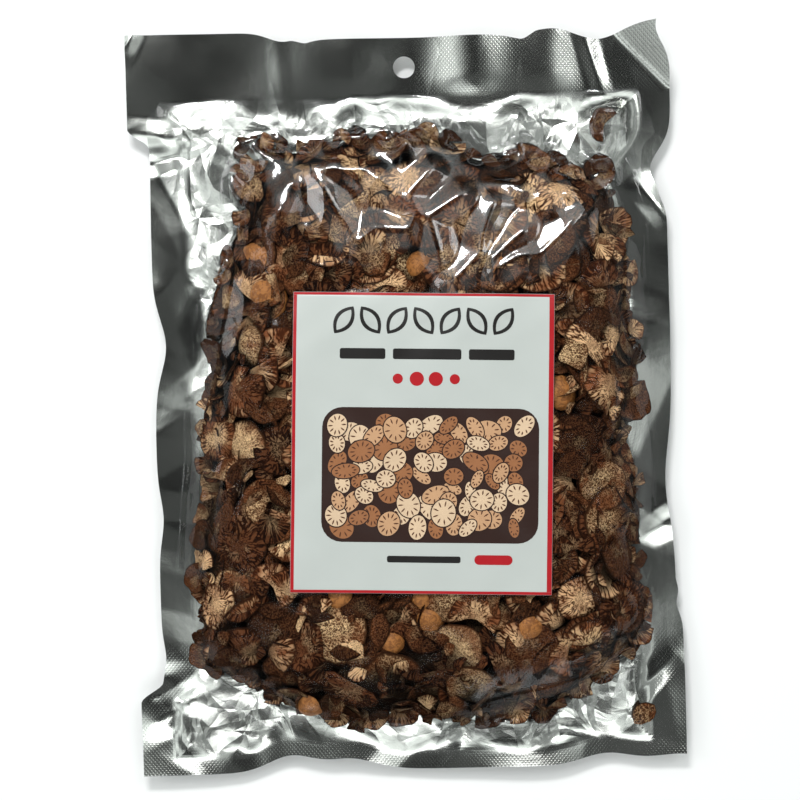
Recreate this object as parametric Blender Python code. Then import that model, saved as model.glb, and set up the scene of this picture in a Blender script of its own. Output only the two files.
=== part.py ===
"""A vacuum packed pouch of betel nut slices, lying on its foil back with the clear front up.

The pouch is one flat sealed bag: a foil web behind and a clear web in front, joined by a seal all
round and by a deep header with a hang hole at the top. It is modelled as one closed solid, with the
outermost slices standing out of it as they do under the tight film. A paper label lies on top.
Lengths are in millimetres in this file, and MM turns them into Blender's metres.
The header points along +Y, and the origin is on the surface it lies on, under the middle of its box.
"""

import math
import random

import bmesh
import bpy
import numpy as np
from mathutils import Matrix, Vector

MM = 0.001
SEED = 12

# The flat pouch
POUCH_WIDTH = 220.0
POUCH_HEIGHT = 300.0
WEB_THICKNESS = 1.0

# The outline is pulled in where the filled pouch shrinks. Each pinch is (where along the edge, depth, width),
# and a wide one is level over most of its width.
LEFT_PINCHES = ((-4.0, 8.5, 116.0), (24.0, 4.8, 15.0), (-46.0, 2.2, 12.0), (-103.0, 1.6, 8.0))
RIGHT_PINCHES = (
    (0.0, 2.4, 85.0), (90.0, 8.6, 11.0), (-38.0, 3.4, 22.0), (-88.0, 2.4, 6.0), (148.0, 6.0, 10.0),
)
TOP_PINCHES = ((-44.0, 4.0, 9.0), (10.0, 3.6, 52.0), (58.0, 2.2, 9.0), (86.0, 6.0, 13.0))
BOTTOM_PINCHES = ((-50.0, 6.6, 13.0), (-26.0, 5.0, 14.0), (78.0, 4.4, 14.0), (108.0, 3.6, 16.0))
WIDE_PINCH = 30.0
PLATEAU_EDGE = 8.0

# The filled part: its corners as seen from above, going round to the left, and how soft those corners are
FILL_CORNERS = (
    (-90.0, -105.0), (-38.0, -134.0), (57.0, -133.0), (100.0, -103.0),
    (97.0, 84.0), (82.0, 106.0), (-64.0, 111.0), (-90.0, -45.0),
)
FILL_SOFT = 5.0
FILL_TOP = 28.0
SHOULDER = 25.0
SHOULDER_POWER = 2.3
SKIRT = 13.0
SKIRT_SHARE = 0.1
BACK_SHOULDER = 18.0
THINNER_AT_TOP = 8.0
THINNER_FROM = 15.0
THINNER_OVER = 100.0

# Lumps of the filled front, each (height, length across, length along, start across, start along)
LUMPS = ((1.2, 61.0, 68.0, 0.4, 1.1), (0.6, 36.0, 47.0, 0.0, 0.7))

# The seal stands a little off the surface that the pouch lies on, and waves across and along
SEAL_LEVEL = 6.5
SEAL_WAVE = 1.2
SEAL_WAVE_LENGTHS = (74.0, 90.7)
SEAL_WAVE_START = 0.8
CORNER_CREASE = ((105.0, 128.0), (90.0, 144.0))
CORNER_SLOPE = 0.7

# Faces across and along the pouch
FACES_ACROSS = 32
FACES_ALONG = 44

# The hang hole
HOLE_PLACE = (2.7, 134.5)
HOLE_RADIUS = 4.4
HOLE_SIDES = 20
CUTTER_LENGTH = 12.0

# The slices that stand out under the film
SLICE_SPACING = 16.5
SLICE_CLOSEST = 12.8
SLICE_JITTER = 2.5
SLICE_RADIUS = (8.0, 12.0)
SLICE_SET_IN = 6.0
SLICE_SIDES = 9
SLICE_ASPECT = 0.92
SLICE_STANDS_OUT = 0.75
SHOULDER_SINK = 2.2
SLICE_TILT = math.radians(7.0)
SLICE_UNEVEN = 0.16
FILL_MARGIN = 5.5
NEARLY = 0.99

# The paper label
LABEL_CENTRE = (6.0, -17.6)
LABEL_SIZE = (103.2, 118.8)
LABEL_TURN = math.radians(-2.1)
LABEL_THICKNESS = 0.6
LABEL_GAP = 0.4
LABEL_FACES = (12, 14)
LABEL_CLEAR = 1.2

# Colours, as linear red, green and blue, and the gloss of foil under film and of coated paper
FOIL_COLOUR = (0.42, 0.42, 0.41, 1.0)
FOIL_ROUGHNESS = 0.28
FOIL_METALLIC = 0.8
PAPER_COLOUR = (0.78, 0.80, 0.79, 1.0)
PAPER_ROUGHNESS = 0.45


def clear_scene():
    """Removes every object that is there at the start."""
    for thing in list(bpy.data.objects):
        bpy.data.objects.remove(thing)


def make_material(name, colour, roughness, metallic):
    material = bpy.data.materials.new(name)
    material.use_nodes = True
    shader = material.node_tree.nodes["Principled BSDF"]
    shader.inputs["Base Color"].default_value = colour
    shader.inputs["Roughness"].default_value = roughness
    shader.inputs["Metallic"].default_value = metallic
    return material


def smooth_step(value):
    """0 below 0 and 1 above 1, with a soft rise between."""
    value = min(max(value, 0.0), 1.0)
    return value * value * (3.0 - 2.0 * value)


def pulled_in(along, pinches):
    """How far an edge is drawn in at this place along it."""
    total = 0.0
    for where, depth, width in pinches:
        away = abs(along - where)
        if width > WIDE_PINCH:
            total += depth * smooth_step((width - away) / PLATEAU_EDGE)
        else:
            total += depth * math.exp(-((away / width) ** 2))
    return total


def outline_point(across, along):
    """A place on the flat pouch, from two shares between 0 and 1. The four edges are wavy."""
    x = (across - 0.5) * POUCH_WIDTH
    y = (along - 0.5) * POUCH_HEIGHT
    left = -POUCH_WIDTH / 2 + pulled_in(y, LEFT_PINCHES)
    right = POUCH_WIDTH / 2 - pulled_in(y, RIGHT_PINCHES)
    bottom = -POUCH_HEIGHT / 2 + pulled_in(x, BOTTOM_PINCHES)
    top = POUCH_HEIGHT / 2 - pulled_in(x, TOP_PINCHES)
    return left + (right - left) * across, bottom + (top - bottom) * along


def inside_fill(x, y):
    """Distance in from the edge of the filled part, soft at its corners. It is negative outside."""
    total = 0.0
    for start, end in zip(FILL_CORNERS, FILL_CORNERS[1:] + FILL_CORNERS[:1]):
        side = Vector((end[0] - start[0], end[1] - start[1])).normalized()
        outwards = Vector((side.y, -side.x))
        past = outwards.dot(Vector((x - start[0], y - start[1])))
        total += math.exp(past / FILL_SOFT)
    return -FILL_SOFT * math.log(total)


def seal_level(x, y):
    """Height of the middle of the sealed web, which waves and has one corner folded up along a crease."""
    length_x, length_y = SEAL_WAVE_LENGTHS
    wave = math.sin(x / length_x * math.tau + SEAL_WAVE_START) * math.cos(y / length_y * math.tau)
    (x0, y0), (x1, y1) = CORNER_CREASE
    beyond = ((x - x0) * (y1 - y0) - (y - y0) * (x1 - x0)) / math.hypot(x1 - x0, y1 - y0)
    return SEAL_LEVEL + SEAL_WAVE * wave + CORNER_SLOPE * max(beyond, 0.0)


def lumps(x, y):
    """Soft lumps of the filled front, where many slices lie over each other."""
    total = 0.0
    for height, length_x, length_y, start_x, start_y in LUMPS:
        wave_x = math.sin(x / length_x * math.tau + start_x)
        wave_y = math.sin(y / length_y * math.tau + start_y)
        total += height * wave_x * wave_y
    return total


def front_height(x, y):
    """Height of the clear front: a flat sealed rim, a skirt of empty film and a full, soft shouldered middle.

    The middle is thinner towards the header, because the slices settled to the other end.
    """
    rim = seal_level(x, y) + WEB_THICKNESS / 2
    depth = inside_fill(x, y)
    full = FILL_TOP + lumps(x, y) - THINNER_AT_TOP * smooth_step((y - THINNER_FROM) / THINNER_OVER)
    skirt = SKIRT_SHARE * smooth_step((depth + SKIRT) / SKIRT)
    rise = min(max(depth / SHOULDER, 0.0), 1.0)
    shoulder = 1.0 - (1.0 - rise) ** SHOULDER_POWER
    share = skirt + (1.0 - SKIRT_SHARE) * shoulder
    return rim + (full - rim) * share


def back_height(x, y):
    """Height of the foil back: flat where the pouch lies on it, and up to the seal round the edge."""
    rim = seal_level(x, y) - WEB_THICKNESS / 2
    return rim * (1.0 - smooth_step((inside_fill(x, y) + SKIRT) / BACK_SHOULDER))


def front_normal(x, y):
    step = 1.0
    slope_x = (front_height(x + step, y) - front_height(x - step, y)) / (2 * step)
    slope_y = (front_height(x, y + step) - front_height(x, y - step)) / (2 * step)
    return Vector((-slope_x, -slope_y, 1.0)).normalized()


def new_object(name, mesh, material):
    thing = bpy.data.objects.new(name, mesh)
    bpy.context.scene.collection.objects.link(thing)
    mesh.materials.append(material)
    return thing


def two_sided_sheet(columns, rows, place):
    """A closed mesh from two grids of points and the strip between their edges.

    place(column, row, side) gives a point, where side is 0 for the back and 1 for the front.
    """
    mesh = bmesh.new()
    back, front = [], []
    for side, grid in enumerate((back, front)):
        for c in range(columns + 1):
            grid.append([mesh.verts.new(Vector(place(c, r, side)) * MM) for r in range(rows + 1)])
    for c in range(columns):
        for r in range(rows):
            mesh.faces.new((front[c][r], front[c + 1][r], front[c + 1][r + 1], front[c][r + 1]))
            mesh.faces.new((back[c][r], back[c][r + 1], back[c + 1][r + 1], back[c + 1][r]))
    rim = [(c, 0) for c in range(columns)] + [(columns, r) for r in range(rows)]
    rim += [(c, rows) for c in range(columns, 0, -1)] + [(0, r) for r in range(rows, 0, -1)]
    for (c0, r0), (c1, r1) in zip(rim, rim[1:] + rim[:1]):
        mesh.faces.new((back[c0][r0], back[c1][r1], front[c1][r1], front[c0][r0]))
    return mesh


def make_bag():
    """The sealed bag without its slices: wavy rim, soft shouldered front and flat back."""

    def place(column, row, side):
        x, y = outline_point(column / FACES_ACROSS, row / FACES_ALONG)
        return x, y, front_height(x, y) if side else back_height(x, y)

    shape = two_sided_sheet(FACES_ACROSS, FACES_ALONG, place)
    bmesh.ops.triangulate(shape, faces=shape.faces)
    mesh = bpy.data.meshes.new("pouch")
    shape.to_mesh(mesh)
    shape.free()
    foil = make_material("foil_and_film", FOIL_COLOUR, FOIL_ROUGHNESS, FOIL_METALLIC)
    return new_object("pouch", mesh, foil)


def from_label(u, v):
    """A place on the label, from its middle, as a place on the pouch."""
    cos, sin = math.cos(LABEL_TURN), math.sin(LABEL_TURN)
    return LABEL_CENTRE[0] + u * cos - v * sin, LABEL_CENTRE[1] + u * sin + v * cos


def label_distance(x, y):
    """Distance from the label's edge. It is negative inside the label."""
    cos, sin = math.cos(LABEL_TURN), math.sin(LABEL_TURN)
    dx, dy = x - LABEL_CENTRE[0], y - LABEL_CENTRE[1]
    past_u = abs(dx * cos + dy * sin) - LABEL_SIZE[0] / 2
    past_v = abs(dy * cos - dx * sin) - LABEL_SIZE[1] / 2
    return max(past_u, past_v) if max(past_u, past_v) < 0 else math.hypot(max(past_u, 0.0), max(past_v, 0.0))


def round_the_label(away):
    """Places in a row round the label, this far from its edge."""
    half_u, half_v = LABEL_SIZE[0] / 2 + away, LABEL_SIZE[1] / 2 + away
    corners = ((-half_u, -half_v), (half_u, -half_v), (half_u, half_v), (-half_u, half_v))
    for (u0, v0), (u1, v1) in zip(corners, corners[1:] + corners[:1]):
        steps = round(math.hypot(u1 - u0, v1 - v0) / SLICE_SPACING)
        for step in range(steps):
            share = step / steps
            yield from_label(u0 + (u1 - u0) * share, v0 + (v1 - v0) * share)


def over_the_pouch(draw):
    """Places in staggered rows over the whole pouch, each moved a little."""
    row_height = SLICE_SPACING * math.sqrt(3) / 2
    rows = int(POUCH_HEIGHT / row_height)
    columns = int(POUCH_WIDTH / SLICE_SPACING)
    for row in range(rows):
        for column in range(columns + 1):
            x = (column - columns / 2 + 0.5 * (row % 2)) * SLICE_SPACING
            y = (row - rows / 2) * row_height
            yield x + draw.uniform(-SLICE_JITTER, SLICE_JITTER), y + draw.uniform(-SLICE_JITTER, SLICE_JITTER)


def slice_places(draw):
    """Where the slices lie, as (x, y, radius): a row close round the label, then evenly over the rest."""
    smallest, largest = SLICE_RADIUS
    reach = (1.0 + SLICE_UNEVEN) * smallest + LABEL_CLEAR
    places = []
    for x, y in [*round_the_label(reach), *over_the_pouch(draw)]:
        room = (label_distance(x, y) - LABEL_CLEAR) / (1.0 + SLICE_UNEVEN)
        radius = min(draw.uniform(smallest, largest), room)
        if inside_fill(x, y) < FILL_MARGIN or radius < smallest * NEARLY:
            continue
        if all(math.hypot(x - other[0], y - other[1]) >= SLICE_CLOSEST for other in places):
            places.append((x, y, radius))
    return places


def make_slice(number, x, y, radius, draw, material):
    """One dried slice: an uneven disc, set into the bag along the film's slope with its face standing out."""
    mesh = bmesh.new()
    corners = []
    for corner in range(SLICE_SIDES):
        angle = math.tau * corner / SLICE_SIDES
        reach = radius * (1.0 + draw.uniform(-SLICE_UNEVEN, SLICE_UNEVEN))
        corners.append((reach * math.cos(angle), reach * math.sin(angle) * SLICE_ASPECT))
    low = [mesh.verts.new((u, v, -SLICE_SET_IN)) for u, v in corners]
    high = [mesh.verts.new((u, v, 0.0)) for u, v in corners]
    mesh.faces.new(list(reversed(low)))
    mesh.faces.new(high)
    for i in range(SLICE_SIDES):
        j = (i + 1) % SLICE_SIDES
        mesh.faces.new((low[i], low[j], high[j], high[i]))
    tilt_x = Matrix.Rotation(draw.uniform(-SLICE_TILT, SLICE_TILT), 4, "X")
    tilt_y = Matrix.Rotation(draw.uniform(-SLICE_TILT, SLICE_TILT), 4, "Y")
    spin = Matrix.Rotation(draw.uniform(0.0, math.tau), 4, "Z")
    lean = front_normal(x, y).to_track_quat("Z", "Y").to_matrix().to_4x4()
    rise = Matrix.Translation((x, y, front_height(x, y)))
    sunk = SHOULDER_SINK * smooth_step(1.0 - inside_fill(x, y) / SHOULDER)
    out = Matrix.Translation((0.0, 0.0, SLICE_STANDS_OUT - sunk))
    mesh.transform(Matrix.Scale(MM, 4) @ rise @ lean @ out @ tilt_x @ tilt_y @ spin)
    bmesh.ops.triangulate(mesh, faces=mesh.faces)
    data = bpy.data.meshes.new(f"slice_{number}")
    mesh.to_mesh(data)
    mesh.free()
    return new_object(f"slice_{number}", data, material)


def fuse_slices(bag):
    """Joins the slices to the bag with one union, and removes the loose ones."""
    draw = random.Random(SEED)
    group = bpy.data.collections.new("slices")
    bpy.context.scene.collection.children.link(group)
    for number, (x, y, radius) in enumerate(slice_places(draw)):
        piece = make_slice(number, x, y, radius, draw, bag.data.materials[0])
        bpy.context.scene.collection.objects.unlink(piece)
        group.objects.link(piece)
    union = bag.modifiers.new("slices", "BOOLEAN")
    union.operation = "UNION"
    union.operand_type = "COLLECTION"
    union.collection = group
    union.solver = "MANIFOLD"
    graph = bpy.context.evaluated_depsgraph_get()
    joined = bpy.data.meshes.new_from_object(bag.evaluated_get(graph))
    bag.modifiers.remove(union)
    bag.data = joined
    for piece in list(group.objects):
        bpy.data.objects.remove(piece)
    bpy.data.collections.remove(group)


def punch_hole(bag):
    """The round hang hole through the header."""
    x, y = HOLE_PLACE
    mesh = bmesh.new()
    bmesh.ops.create_cone(
        mesh,
        cap_ends=True,
        segments=HOLE_SIDES,
        radius1=HOLE_RADIUS * MM,
        radius2=HOLE_RADIUS * MM,
        depth=CUTTER_LENGTH * MM,
        matrix=Matrix.Translation(Vector((x, y, seal_level(x, y))) * MM),
    )
    data = bpy.data.meshes.new("hole_cutter")
    mesh.to_mesh(data)
    mesh.free()
    cutter = bpy.data.objects.new("hole_cutter", data)
    bpy.context.scene.collection.objects.link(cutter)
    cutter.hide_render = True
    cutter.display_type = "WIRE"
    cut = bag.modifiers.new("hang_hole", "BOOLEAN")
    cut.operation = "DIFFERENCE"
    cut.object = cutter
    cut.solver = "MANIFOLD"


def make_label():
    """The paper label, which follows the front of the pouch a little above it."""
    columns, rows = LABEL_FACES

    def place(column, row, side):
        x, y = from_label((column / columns - 0.5) * LABEL_SIZE[0], (row / rows - 0.5) * LABEL_SIZE[1])
        return Vector((x, y, front_height(x, y))) + front_normal(x, y) * (LABEL_GAP + side * LABEL_THICKNESS)

    shape = two_sided_sheet(columns, rows, place)
    bmesh.ops.triangulate(shape, faces=shape.faces)
    mesh = bpy.data.meshes.new("label")
    shape.to_mesh(mesh)
    shape.free()
    return new_object("label", mesh, make_material("label_paper", PAPER_COLOUR, PAPER_ROUGHNESS, 0.0))


def centre_on_base(things):
    """Moves the meshes so that the middle of their box is over the origin and the lowest point is at zero."""
    graph = bpy.context.evaluated_depsgraph_get()
    points = []
    for thing in things:
        evaluated = thing.evaluated_get(graph)
        points += [tuple(vertex.co) for vertex in evaluated.data.vertices]
    points = np.array(points)
    low, high = points.min(axis=0), points.max(axis=0)
    shift = Matrix.Translation((-(low[0] + high[0]) / 2, -(low[1] + high[1]) / 2, -low[2]))
    for thing in [*things, bpy.data.objects["hole_cutter"]]:
        thing.data.transform(shift)


def main():
    clear_scene()
    bag = make_bag()
    fuse_slices(bag)
    punch_hole(bag)
    label = make_label()
    centre_on_base([bag, label])


main()
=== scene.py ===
"""A vacuum packed pouch of dried betel nut slices, lying on its foil back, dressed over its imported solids.

Every height is worked out on one raster of the pouch: first the web where it is sealed and where it is
empty, then the heap of slices, laid one by one from the bottom up, then the clear film drawn tight over
them, and last the label stuck to the film. Lengths are in millimetres, and MM turns them into metres.
"""

import functools
import math
import random

import bmesh
import bpy
import numpy as np
from bpy.props import FloatProperty, IntProperty, PointerProperty, StringProperty
from mathutils import Matrix, Vector


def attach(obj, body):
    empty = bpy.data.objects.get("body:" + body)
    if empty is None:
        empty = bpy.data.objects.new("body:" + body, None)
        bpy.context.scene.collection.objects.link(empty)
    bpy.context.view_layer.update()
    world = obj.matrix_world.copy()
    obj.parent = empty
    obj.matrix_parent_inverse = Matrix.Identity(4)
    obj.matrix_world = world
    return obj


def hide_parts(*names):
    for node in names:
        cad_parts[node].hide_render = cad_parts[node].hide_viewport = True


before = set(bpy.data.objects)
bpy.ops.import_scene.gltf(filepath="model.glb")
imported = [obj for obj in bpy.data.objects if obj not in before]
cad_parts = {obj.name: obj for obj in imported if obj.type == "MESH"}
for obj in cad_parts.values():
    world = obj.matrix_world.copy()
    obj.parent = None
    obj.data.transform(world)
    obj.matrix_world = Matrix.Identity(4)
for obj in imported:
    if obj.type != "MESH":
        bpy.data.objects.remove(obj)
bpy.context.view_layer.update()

bl_info = {
    "name": "Betel nut pouch",
    "version": (1, 0, 0),
    "blender": (4, 5, 0),
    "location": "View3D > Sidebar > Pouch",
    "description": "A vacuum packed pouch of dried betel nut slices with a clear front and a label",
    "category": "Add Mesh",
}

MM = 0.001

# The flat pouch and its seals, as the solids have them. A pinch has its place, depth and width.
POUCH_WIDTH = 220.0
POUCH_HEIGHT = 300.0
SIDE_SEAL = 12.0
BOTTOM_SEAL = 5.5
HEADER_DEPTH = 27.0
HEADER_FOOT = POUCH_HEIGHT / 2 - HEADER_DEPTH
LEFT_PINCHES = ((-4.0, 8.5, 116.0), (24.0, 4.8, 15.0), (-46.0, 2.2, 12.0), (-103.0, 1.6, 8.0))
RIGHT_PINCHES = (
    (0.0, 2.4, 85.0), (90.0, 8.6, 11.0), (-38.0, 3.4, 22.0), (-88.0, 2.4, 6.0), (148.0, 6.0, 10.0),
)
TOP_PINCHES = ((-44.0, 4.0, 9.0), (10.0, 3.6, 52.0), (58.0, 2.2, 9.0), (86.0, 6.0, 13.0))
BOTTOM_PINCHES = ((-50.0, 6.6, 13.0), (-26.0, 5.0, 14.0), (78.0, 4.4, 14.0), (108.0, 3.6, 16.0))
WIDE_PINCH = 30.0
PLATEAU_EDGE = 8.0
SEAL_LEVEL = 6.5
SEAL_WAVE = 1.2
SEAL_WAVE_LENGTHS = (74.0, 90.7)
SEAL_WAVE_START = 0.8
CORNER_CREASE = ((105.0, 128.0), (90.0, 144.0))
CORNER_SLOPE = 0.7
HOLE_PLACE = (2.7, 134.5)
HOLE_RADIUS = 4.4
HOLE_SIDES = 48
CUTTER_FROM = -5.0
CUTTER_DEPTH = 30.0
FOIL_LEVEL = 0.35

# Waves of the header: place, width and height
HEADER_WAVES = ((29.0, 13.0, 3.2), (62.0, 9.0, 1.2), (-14.0, 20.0, 0.6))

# Folds of the web: start, end, width and height where they are placed, and else how many, with the limits
# of their lengths, widths and heights
PLACED_FOLDS = (
    ((-50.0, 158.0), (-46.0, 116.0), 5.0, 0.2), ((73.0, 156.0), (84.0, 118.0), 5.0, 1.3),
    ((-116.0, 112.0), (-78.0, 106.0), 7.0, 2.0), ((-112.0, 96.0), (-86.0, 102.0), 6.0, -1.8),
    ((-104.0, 156.0), (-113.0, 138.0), 5.0, 1.8), ((-116.0, -134.0), (-74.0, -112.0), 9.0, 2.2),
    ((-112.0, -112.0), (-60.0, -146.0), 8.0, -2.0), ((112.0, 64.0), (94.0, 88.0), 7.0, 1.8),
    ((114.0, -46.0), (92.0, -60.0), 7.0, 1.6), ((108.0, -104.0), (80.0, -132.0), 6.0, 1.6),
)
LOOSE_FOLDS = (150, (24.0, 80.0), (5.0, 13.0), (0.8, 2.7))
STIFF_FOLDS = (64, (30.0, 90.0), (8.0, 18.0), (0.5, 1.9))

# The filled part. A lump has its height, its two lengths and where its two waves start.
FILL_CORNERS = (
    (-90.0, -105.0), (-38.0, -134.0), (57.0, -133.0), (100.0, -103.0),
    (97.0, 84.0), (82.0, 106.0), (-64.0, 111.0), (-90.0, -45.0),
)
FILL_SOFT = 5.0
FILL_TOP = 28.0
THINNER_AT_TOP = 8.0
THINNER_FROM = 15.0
THINNER_OVER = 100.0
SHOULDER = 25.0
SHOULDER_POWER = 2.3
LUMPS = ((1.2, 61.0, 68.0, 0.4, 1.1), (0.6, 36.0, 47.0, 0.0, 0.7))

# The edge of the slices in it: how far it wanders, and how far it stays back
EDGE_WANDER = (2.2, 1.9)
EDGE_BACK = 0.3
BACK_AT_TOP = 2.0
BACK_AT_TOP_RIGHT = 7.0
BACK_AT_RIGHT = 4.5
BACK_AT_FOOT = 2.4

# Where the film stands off the slices, over the upper part and along the edge of the heap
TAUT_FOLDS = (
    ((-35, 93), (-14, 92), (-1, 81), (6, 74), (3, 67), (-11, 68), (-17, 63), (-19, 64), (-28, 80), (-35, 93)),
    ((13, 92), (3, 81), (8, 72)),
    ((25, 81), (11, 72), (15, 57)),
    ((37, 77), (32, 64), (31, 57), (21, 47)),
    ((48, 65), (36, 55), (36, 50), (45, 55), (55, 56), (69, 68), (79, 78)),
)
EDGE_FOLDS = (
    ((-68, 50), (-77, 10), (-82, -11), (-84, -41), (-87, -61)),
    ((-82, -104), (-42, -130)),
    ((24, -121), (49, -116), (68, -112), (92, -94)),
    ((84, 86), (90, 72), (89, 30), (91, -5), (91, -50), (97, -70), (92, -94)),
)

# Their straight stretches, each with its height over the slices and how loose the film is there
FOLD_LINES = [
    (start, end, height, share)
    for folds, height, share in ((TAUT_FOLDS, 2.8, 1.0), (EDGE_FOLDS, 2.4, 0.36))
    for line in folds
    for start, end in zip(line, line[1:])
]
FOLD_FALL = 0.32

# The film over the slices and round the label
FILM_GAP = 0.2
SNUG_RADIUS = 3.5
FILM_INSET = 0.35
LABEL_OVER_FILM = 0.3

# The slices: limits of their radius, thickness, cup, saddle and bend, what differs in the other kinds, how
# many shapes each kind has, and how many points go round and across them
SLICE_LIMITS = ((9.8, 12.6), (0.9, 1.5), (-2.4, 5.6), (-1.8, 1.8), (0.0, 4.2))
END_RADII = (6.4, 8.6)
END_DOMES = (3.4, 5.2)
END_THICKNESS = 1.2
CHIP_RADII = (2.2, 4.4)
CHIP_THICKNESSES = (0.8, 1.6)
BROKEN_BENDS = (0.5, 5.5)
SHAPE_COUNTS = {"whole_slices": 9, "broken_slices": 12, "nut_ends": 4, "nut_chips": 8}
SLICE_SEGMENTS = 22
SLICE_RINGS = (0.3, 0.6, 0.86, 1.0)
CHIP_SEGMENTS = 12
CHIP_RINGS = (0.6, 1.0)

# How they are laid: their sizes, the tries for each, their tilts, how they seek room, and what each fault
# of a try costs
SLICE_SIZES = (0.84, 1.08)
SLICE_TRIES = 6
CHIP_TRIES = 5
USUAL_SHARE = 0.7
STEEP_TILTS = (35.0, 80.0)
MOST_TILT = math.radians(82.0)
FLIPPED_SHARE = 0.4
MOST_ROOM = 12.0
ROOM_POWER = 2.5
MOST_HOLLOW = 8.0
HOLLOW_COST = 0.25
OVER_COST = 3.0
OFF_EDGE_COST = 30.0
BELOW_COST = 12.0
MOST_COST = 20.0

# Rows of part slices round the edge of the heap: how deep in it, and their sizes
EDGE_ROWS = ((10.0, (0.6, 0.95)), (6.5, (0.5, 0.8)), (3.2, (0.32, 0.58)))
EDGE_APART = 6.0
EDGE_ROW_WIDTH = 1.2
EDGE_TILT = 26.0

# How much more slices are drawn to the edge of the heap, and over which depth
EDGE_PULL = 5.0
EDGE_PULL_DEPTH = 6.0

# Pieces that lie by themselves: kind, place, spin and tilt in degrees, size, and whether on top of the heap
PLACED_PIECES = (
    ("nut_ends", -56.8, 59.0, 0.0, 14.0, 1.15, True),
    ("nut_ends", -55.5, 45.0, 70.0, 22.0, 0.95, True),
    ("nut_ends", 46.0, -91.0, 130.0, 16.0, 0.9, True),
    ("nut_ends", -42.0, -121.0, 200.0, 30.0, 0.85, True),
    ("broken_slices", 83.0, 108.0, 20.0, 8.0, 0.72, False),
    ("broken_slices", 80.2, 89.0, 105.0, 10.0, 0.62, False),
    ("broken_slices", 91.5, 25.4, 60.0, 5.0, 0.45, False),
    ("nut_chips", 93.0, -130.0, 0.0, 8.0, 1.2, False),
)

# The crumbs at the heart of the heap
CRUMB_CENTRE = (4.0, -15.0)
CRUMB_INSET = 7.0
CRUMB_DIRECTIONS = 150
CRUMB_RINGS = 34

# The label, and the picture on it: left, right, low and high
LABEL_CENTRE = (6.0, -17.6)
LABEL_SIZE = (103.2, 118.8)
LABEL_TURN = math.radians(-2.1)
PICTURE = (-39.6, 46.0, -39.2, 14.0)
PICTURE_MARGIN = 5.6
PICTURE_CORNER = 8.0
INK_DEPTH = 0.04
PAPER_RADIUS = 300.0
PAPER_BLUR = 5.0
LEAF_POWER = 1.9

# The rounds in the picture: layers, tries for each, limits of their size, and how close they may come
ROUND_LAYERS = 4
ROUND_TRIES = 300
ROUND_SIZES = (7.0, 11.0)
ROUNDS_CLOSE = 0.52
ROUNDS_APART = 4.6
RAY_COUNTS = (9, 10, 11)

# The sheets are grids of this many points
SHEET_COLUMNS = 184
SHEET_ROWS = 250
LABEL_COLUMNS = 52
LABEL_ROWS = 60

# The stage. The lamps have their place in metres, their width and height, and their watts.
FLOOR_REACH = 4000.0
LAMPS = {
    "header_window": ((-0.2, 0.82, 0.98), (0.4, 0.17), 9.0),
    "left_window": ((-1.1, 0.3, 1.0), (0.4, 0.7), 3.0),
    "foot_window": ((0.1, -0.95, 1.3), (1.2, 0.5), 3.0),
    "right_window": ((0.62, 0.52, 0.98), (0.28, 0.28), 0.9),
}
PHOTO_PIXELS = 800
MM_EACH_PIXEL = 0.4052
CAMERA_LENS = 100.0
CAMERA_PLACE = (-2.4, -0.3)
CAMERA_TURN = math.radians(-1.5)

# The raster that holds the heights, one value each millimetre
GRID = 1.0
REACH_X = 113.0
REACH_Y = 153.0
AXIS_X = np.arange(-REACH_X, REACH_X + GRID / 2, GRID)
AXIS_Y = np.arange(-REACH_Y, REACH_Y + GRID / 2, GRID)
RASTER = np.meshgrid(AXIS_X, AXIS_Y, indexing="ij")
NOWHERE = -1e3
BOWL_REACH = 22


# Heights and outlines

def soft_step(value):
    """0 below 0 and 1 above 1, with a soft rise between."""
    value = np.clip(value, 0.0, 1.0)
    return value * value * (3.0 - 2.0 * value)


def between(first, second, share):
    """A share of the way from one value to another."""
    return first + (second - first) * share


def beside(x, y, start, end):
    """Distance from the endless line through two places, positive on its right."""
    (x0, y0), (x1, y1) = start, end
    return ((x - x0) * (y1 - y0) - (y - y0) * (x1 - x0)) / math.hypot(x1 - x0, y1 - y0)


def along_line(x, y, start, end):
    """How far along the line from one place to another, as a share of it."""
    (x0, y0), (x1, y1) = start, end
    return ((x - x0) * (x1 - x0) + (y - y0) * (y1 - y0)) / math.hypot(x1 - x0, y1 - y0) ** 2


def from_line(x, y, start, end):
    """Distance from the straight stretch between two places."""
    (x0, y0), (x1, y1) = start, end
    along = np.clip(along_line(x, y, start, end), 0.0, 1.0)
    return np.hypot(x - x0 - along * (x1 - x0), y - y0 - along * (y1 - y0))


def pulled_in(along, pinches):
    """How far an edge of the pouch is drawn in at these places along it."""
    total = np.zeros_like(along)
    for where, depth, width in pinches:
        away = np.abs(along - where)
        if width > WIDE_PINCH:
            total = total + depth * soft_step((width - away) / PLATEAU_EDGE)
        else:
            total = total + depth * np.exp(-((away / width) ** 2))
    return total


def sheet_places(inset):
    """A grid of places over the pouch, up to this far in from its edges, which are wavy."""
    side, foot = inset / POUCH_WIDTH, inset / POUCH_HEIGHT
    columns = np.linspace(side, 1 - side, SHEET_COLUMNS)
    rows = np.linspace(foot, 1 - foot, SHEET_ROWS)
    across, along = np.meshgrid(columns, rows, indexing="ij")
    x = (across - 0.5) * POUCH_WIDTH
    y = (along - 0.5) * POUCH_HEIGHT
    left = -POUCH_WIDTH / 2 + pulled_in(y, LEFT_PINCHES)
    right = POUCH_WIDTH / 2 - pulled_in(y, RIGHT_PINCHES)
    bottom = -POUCH_HEIGHT / 2 + pulled_in(x, BOTTOM_PINCHES)
    top = POUCH_HEIGHT / 2 - pulled_in(x, TOP_PINCHES)
    return left + (right - left) * across, bottom + (top - bottom) * along


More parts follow.
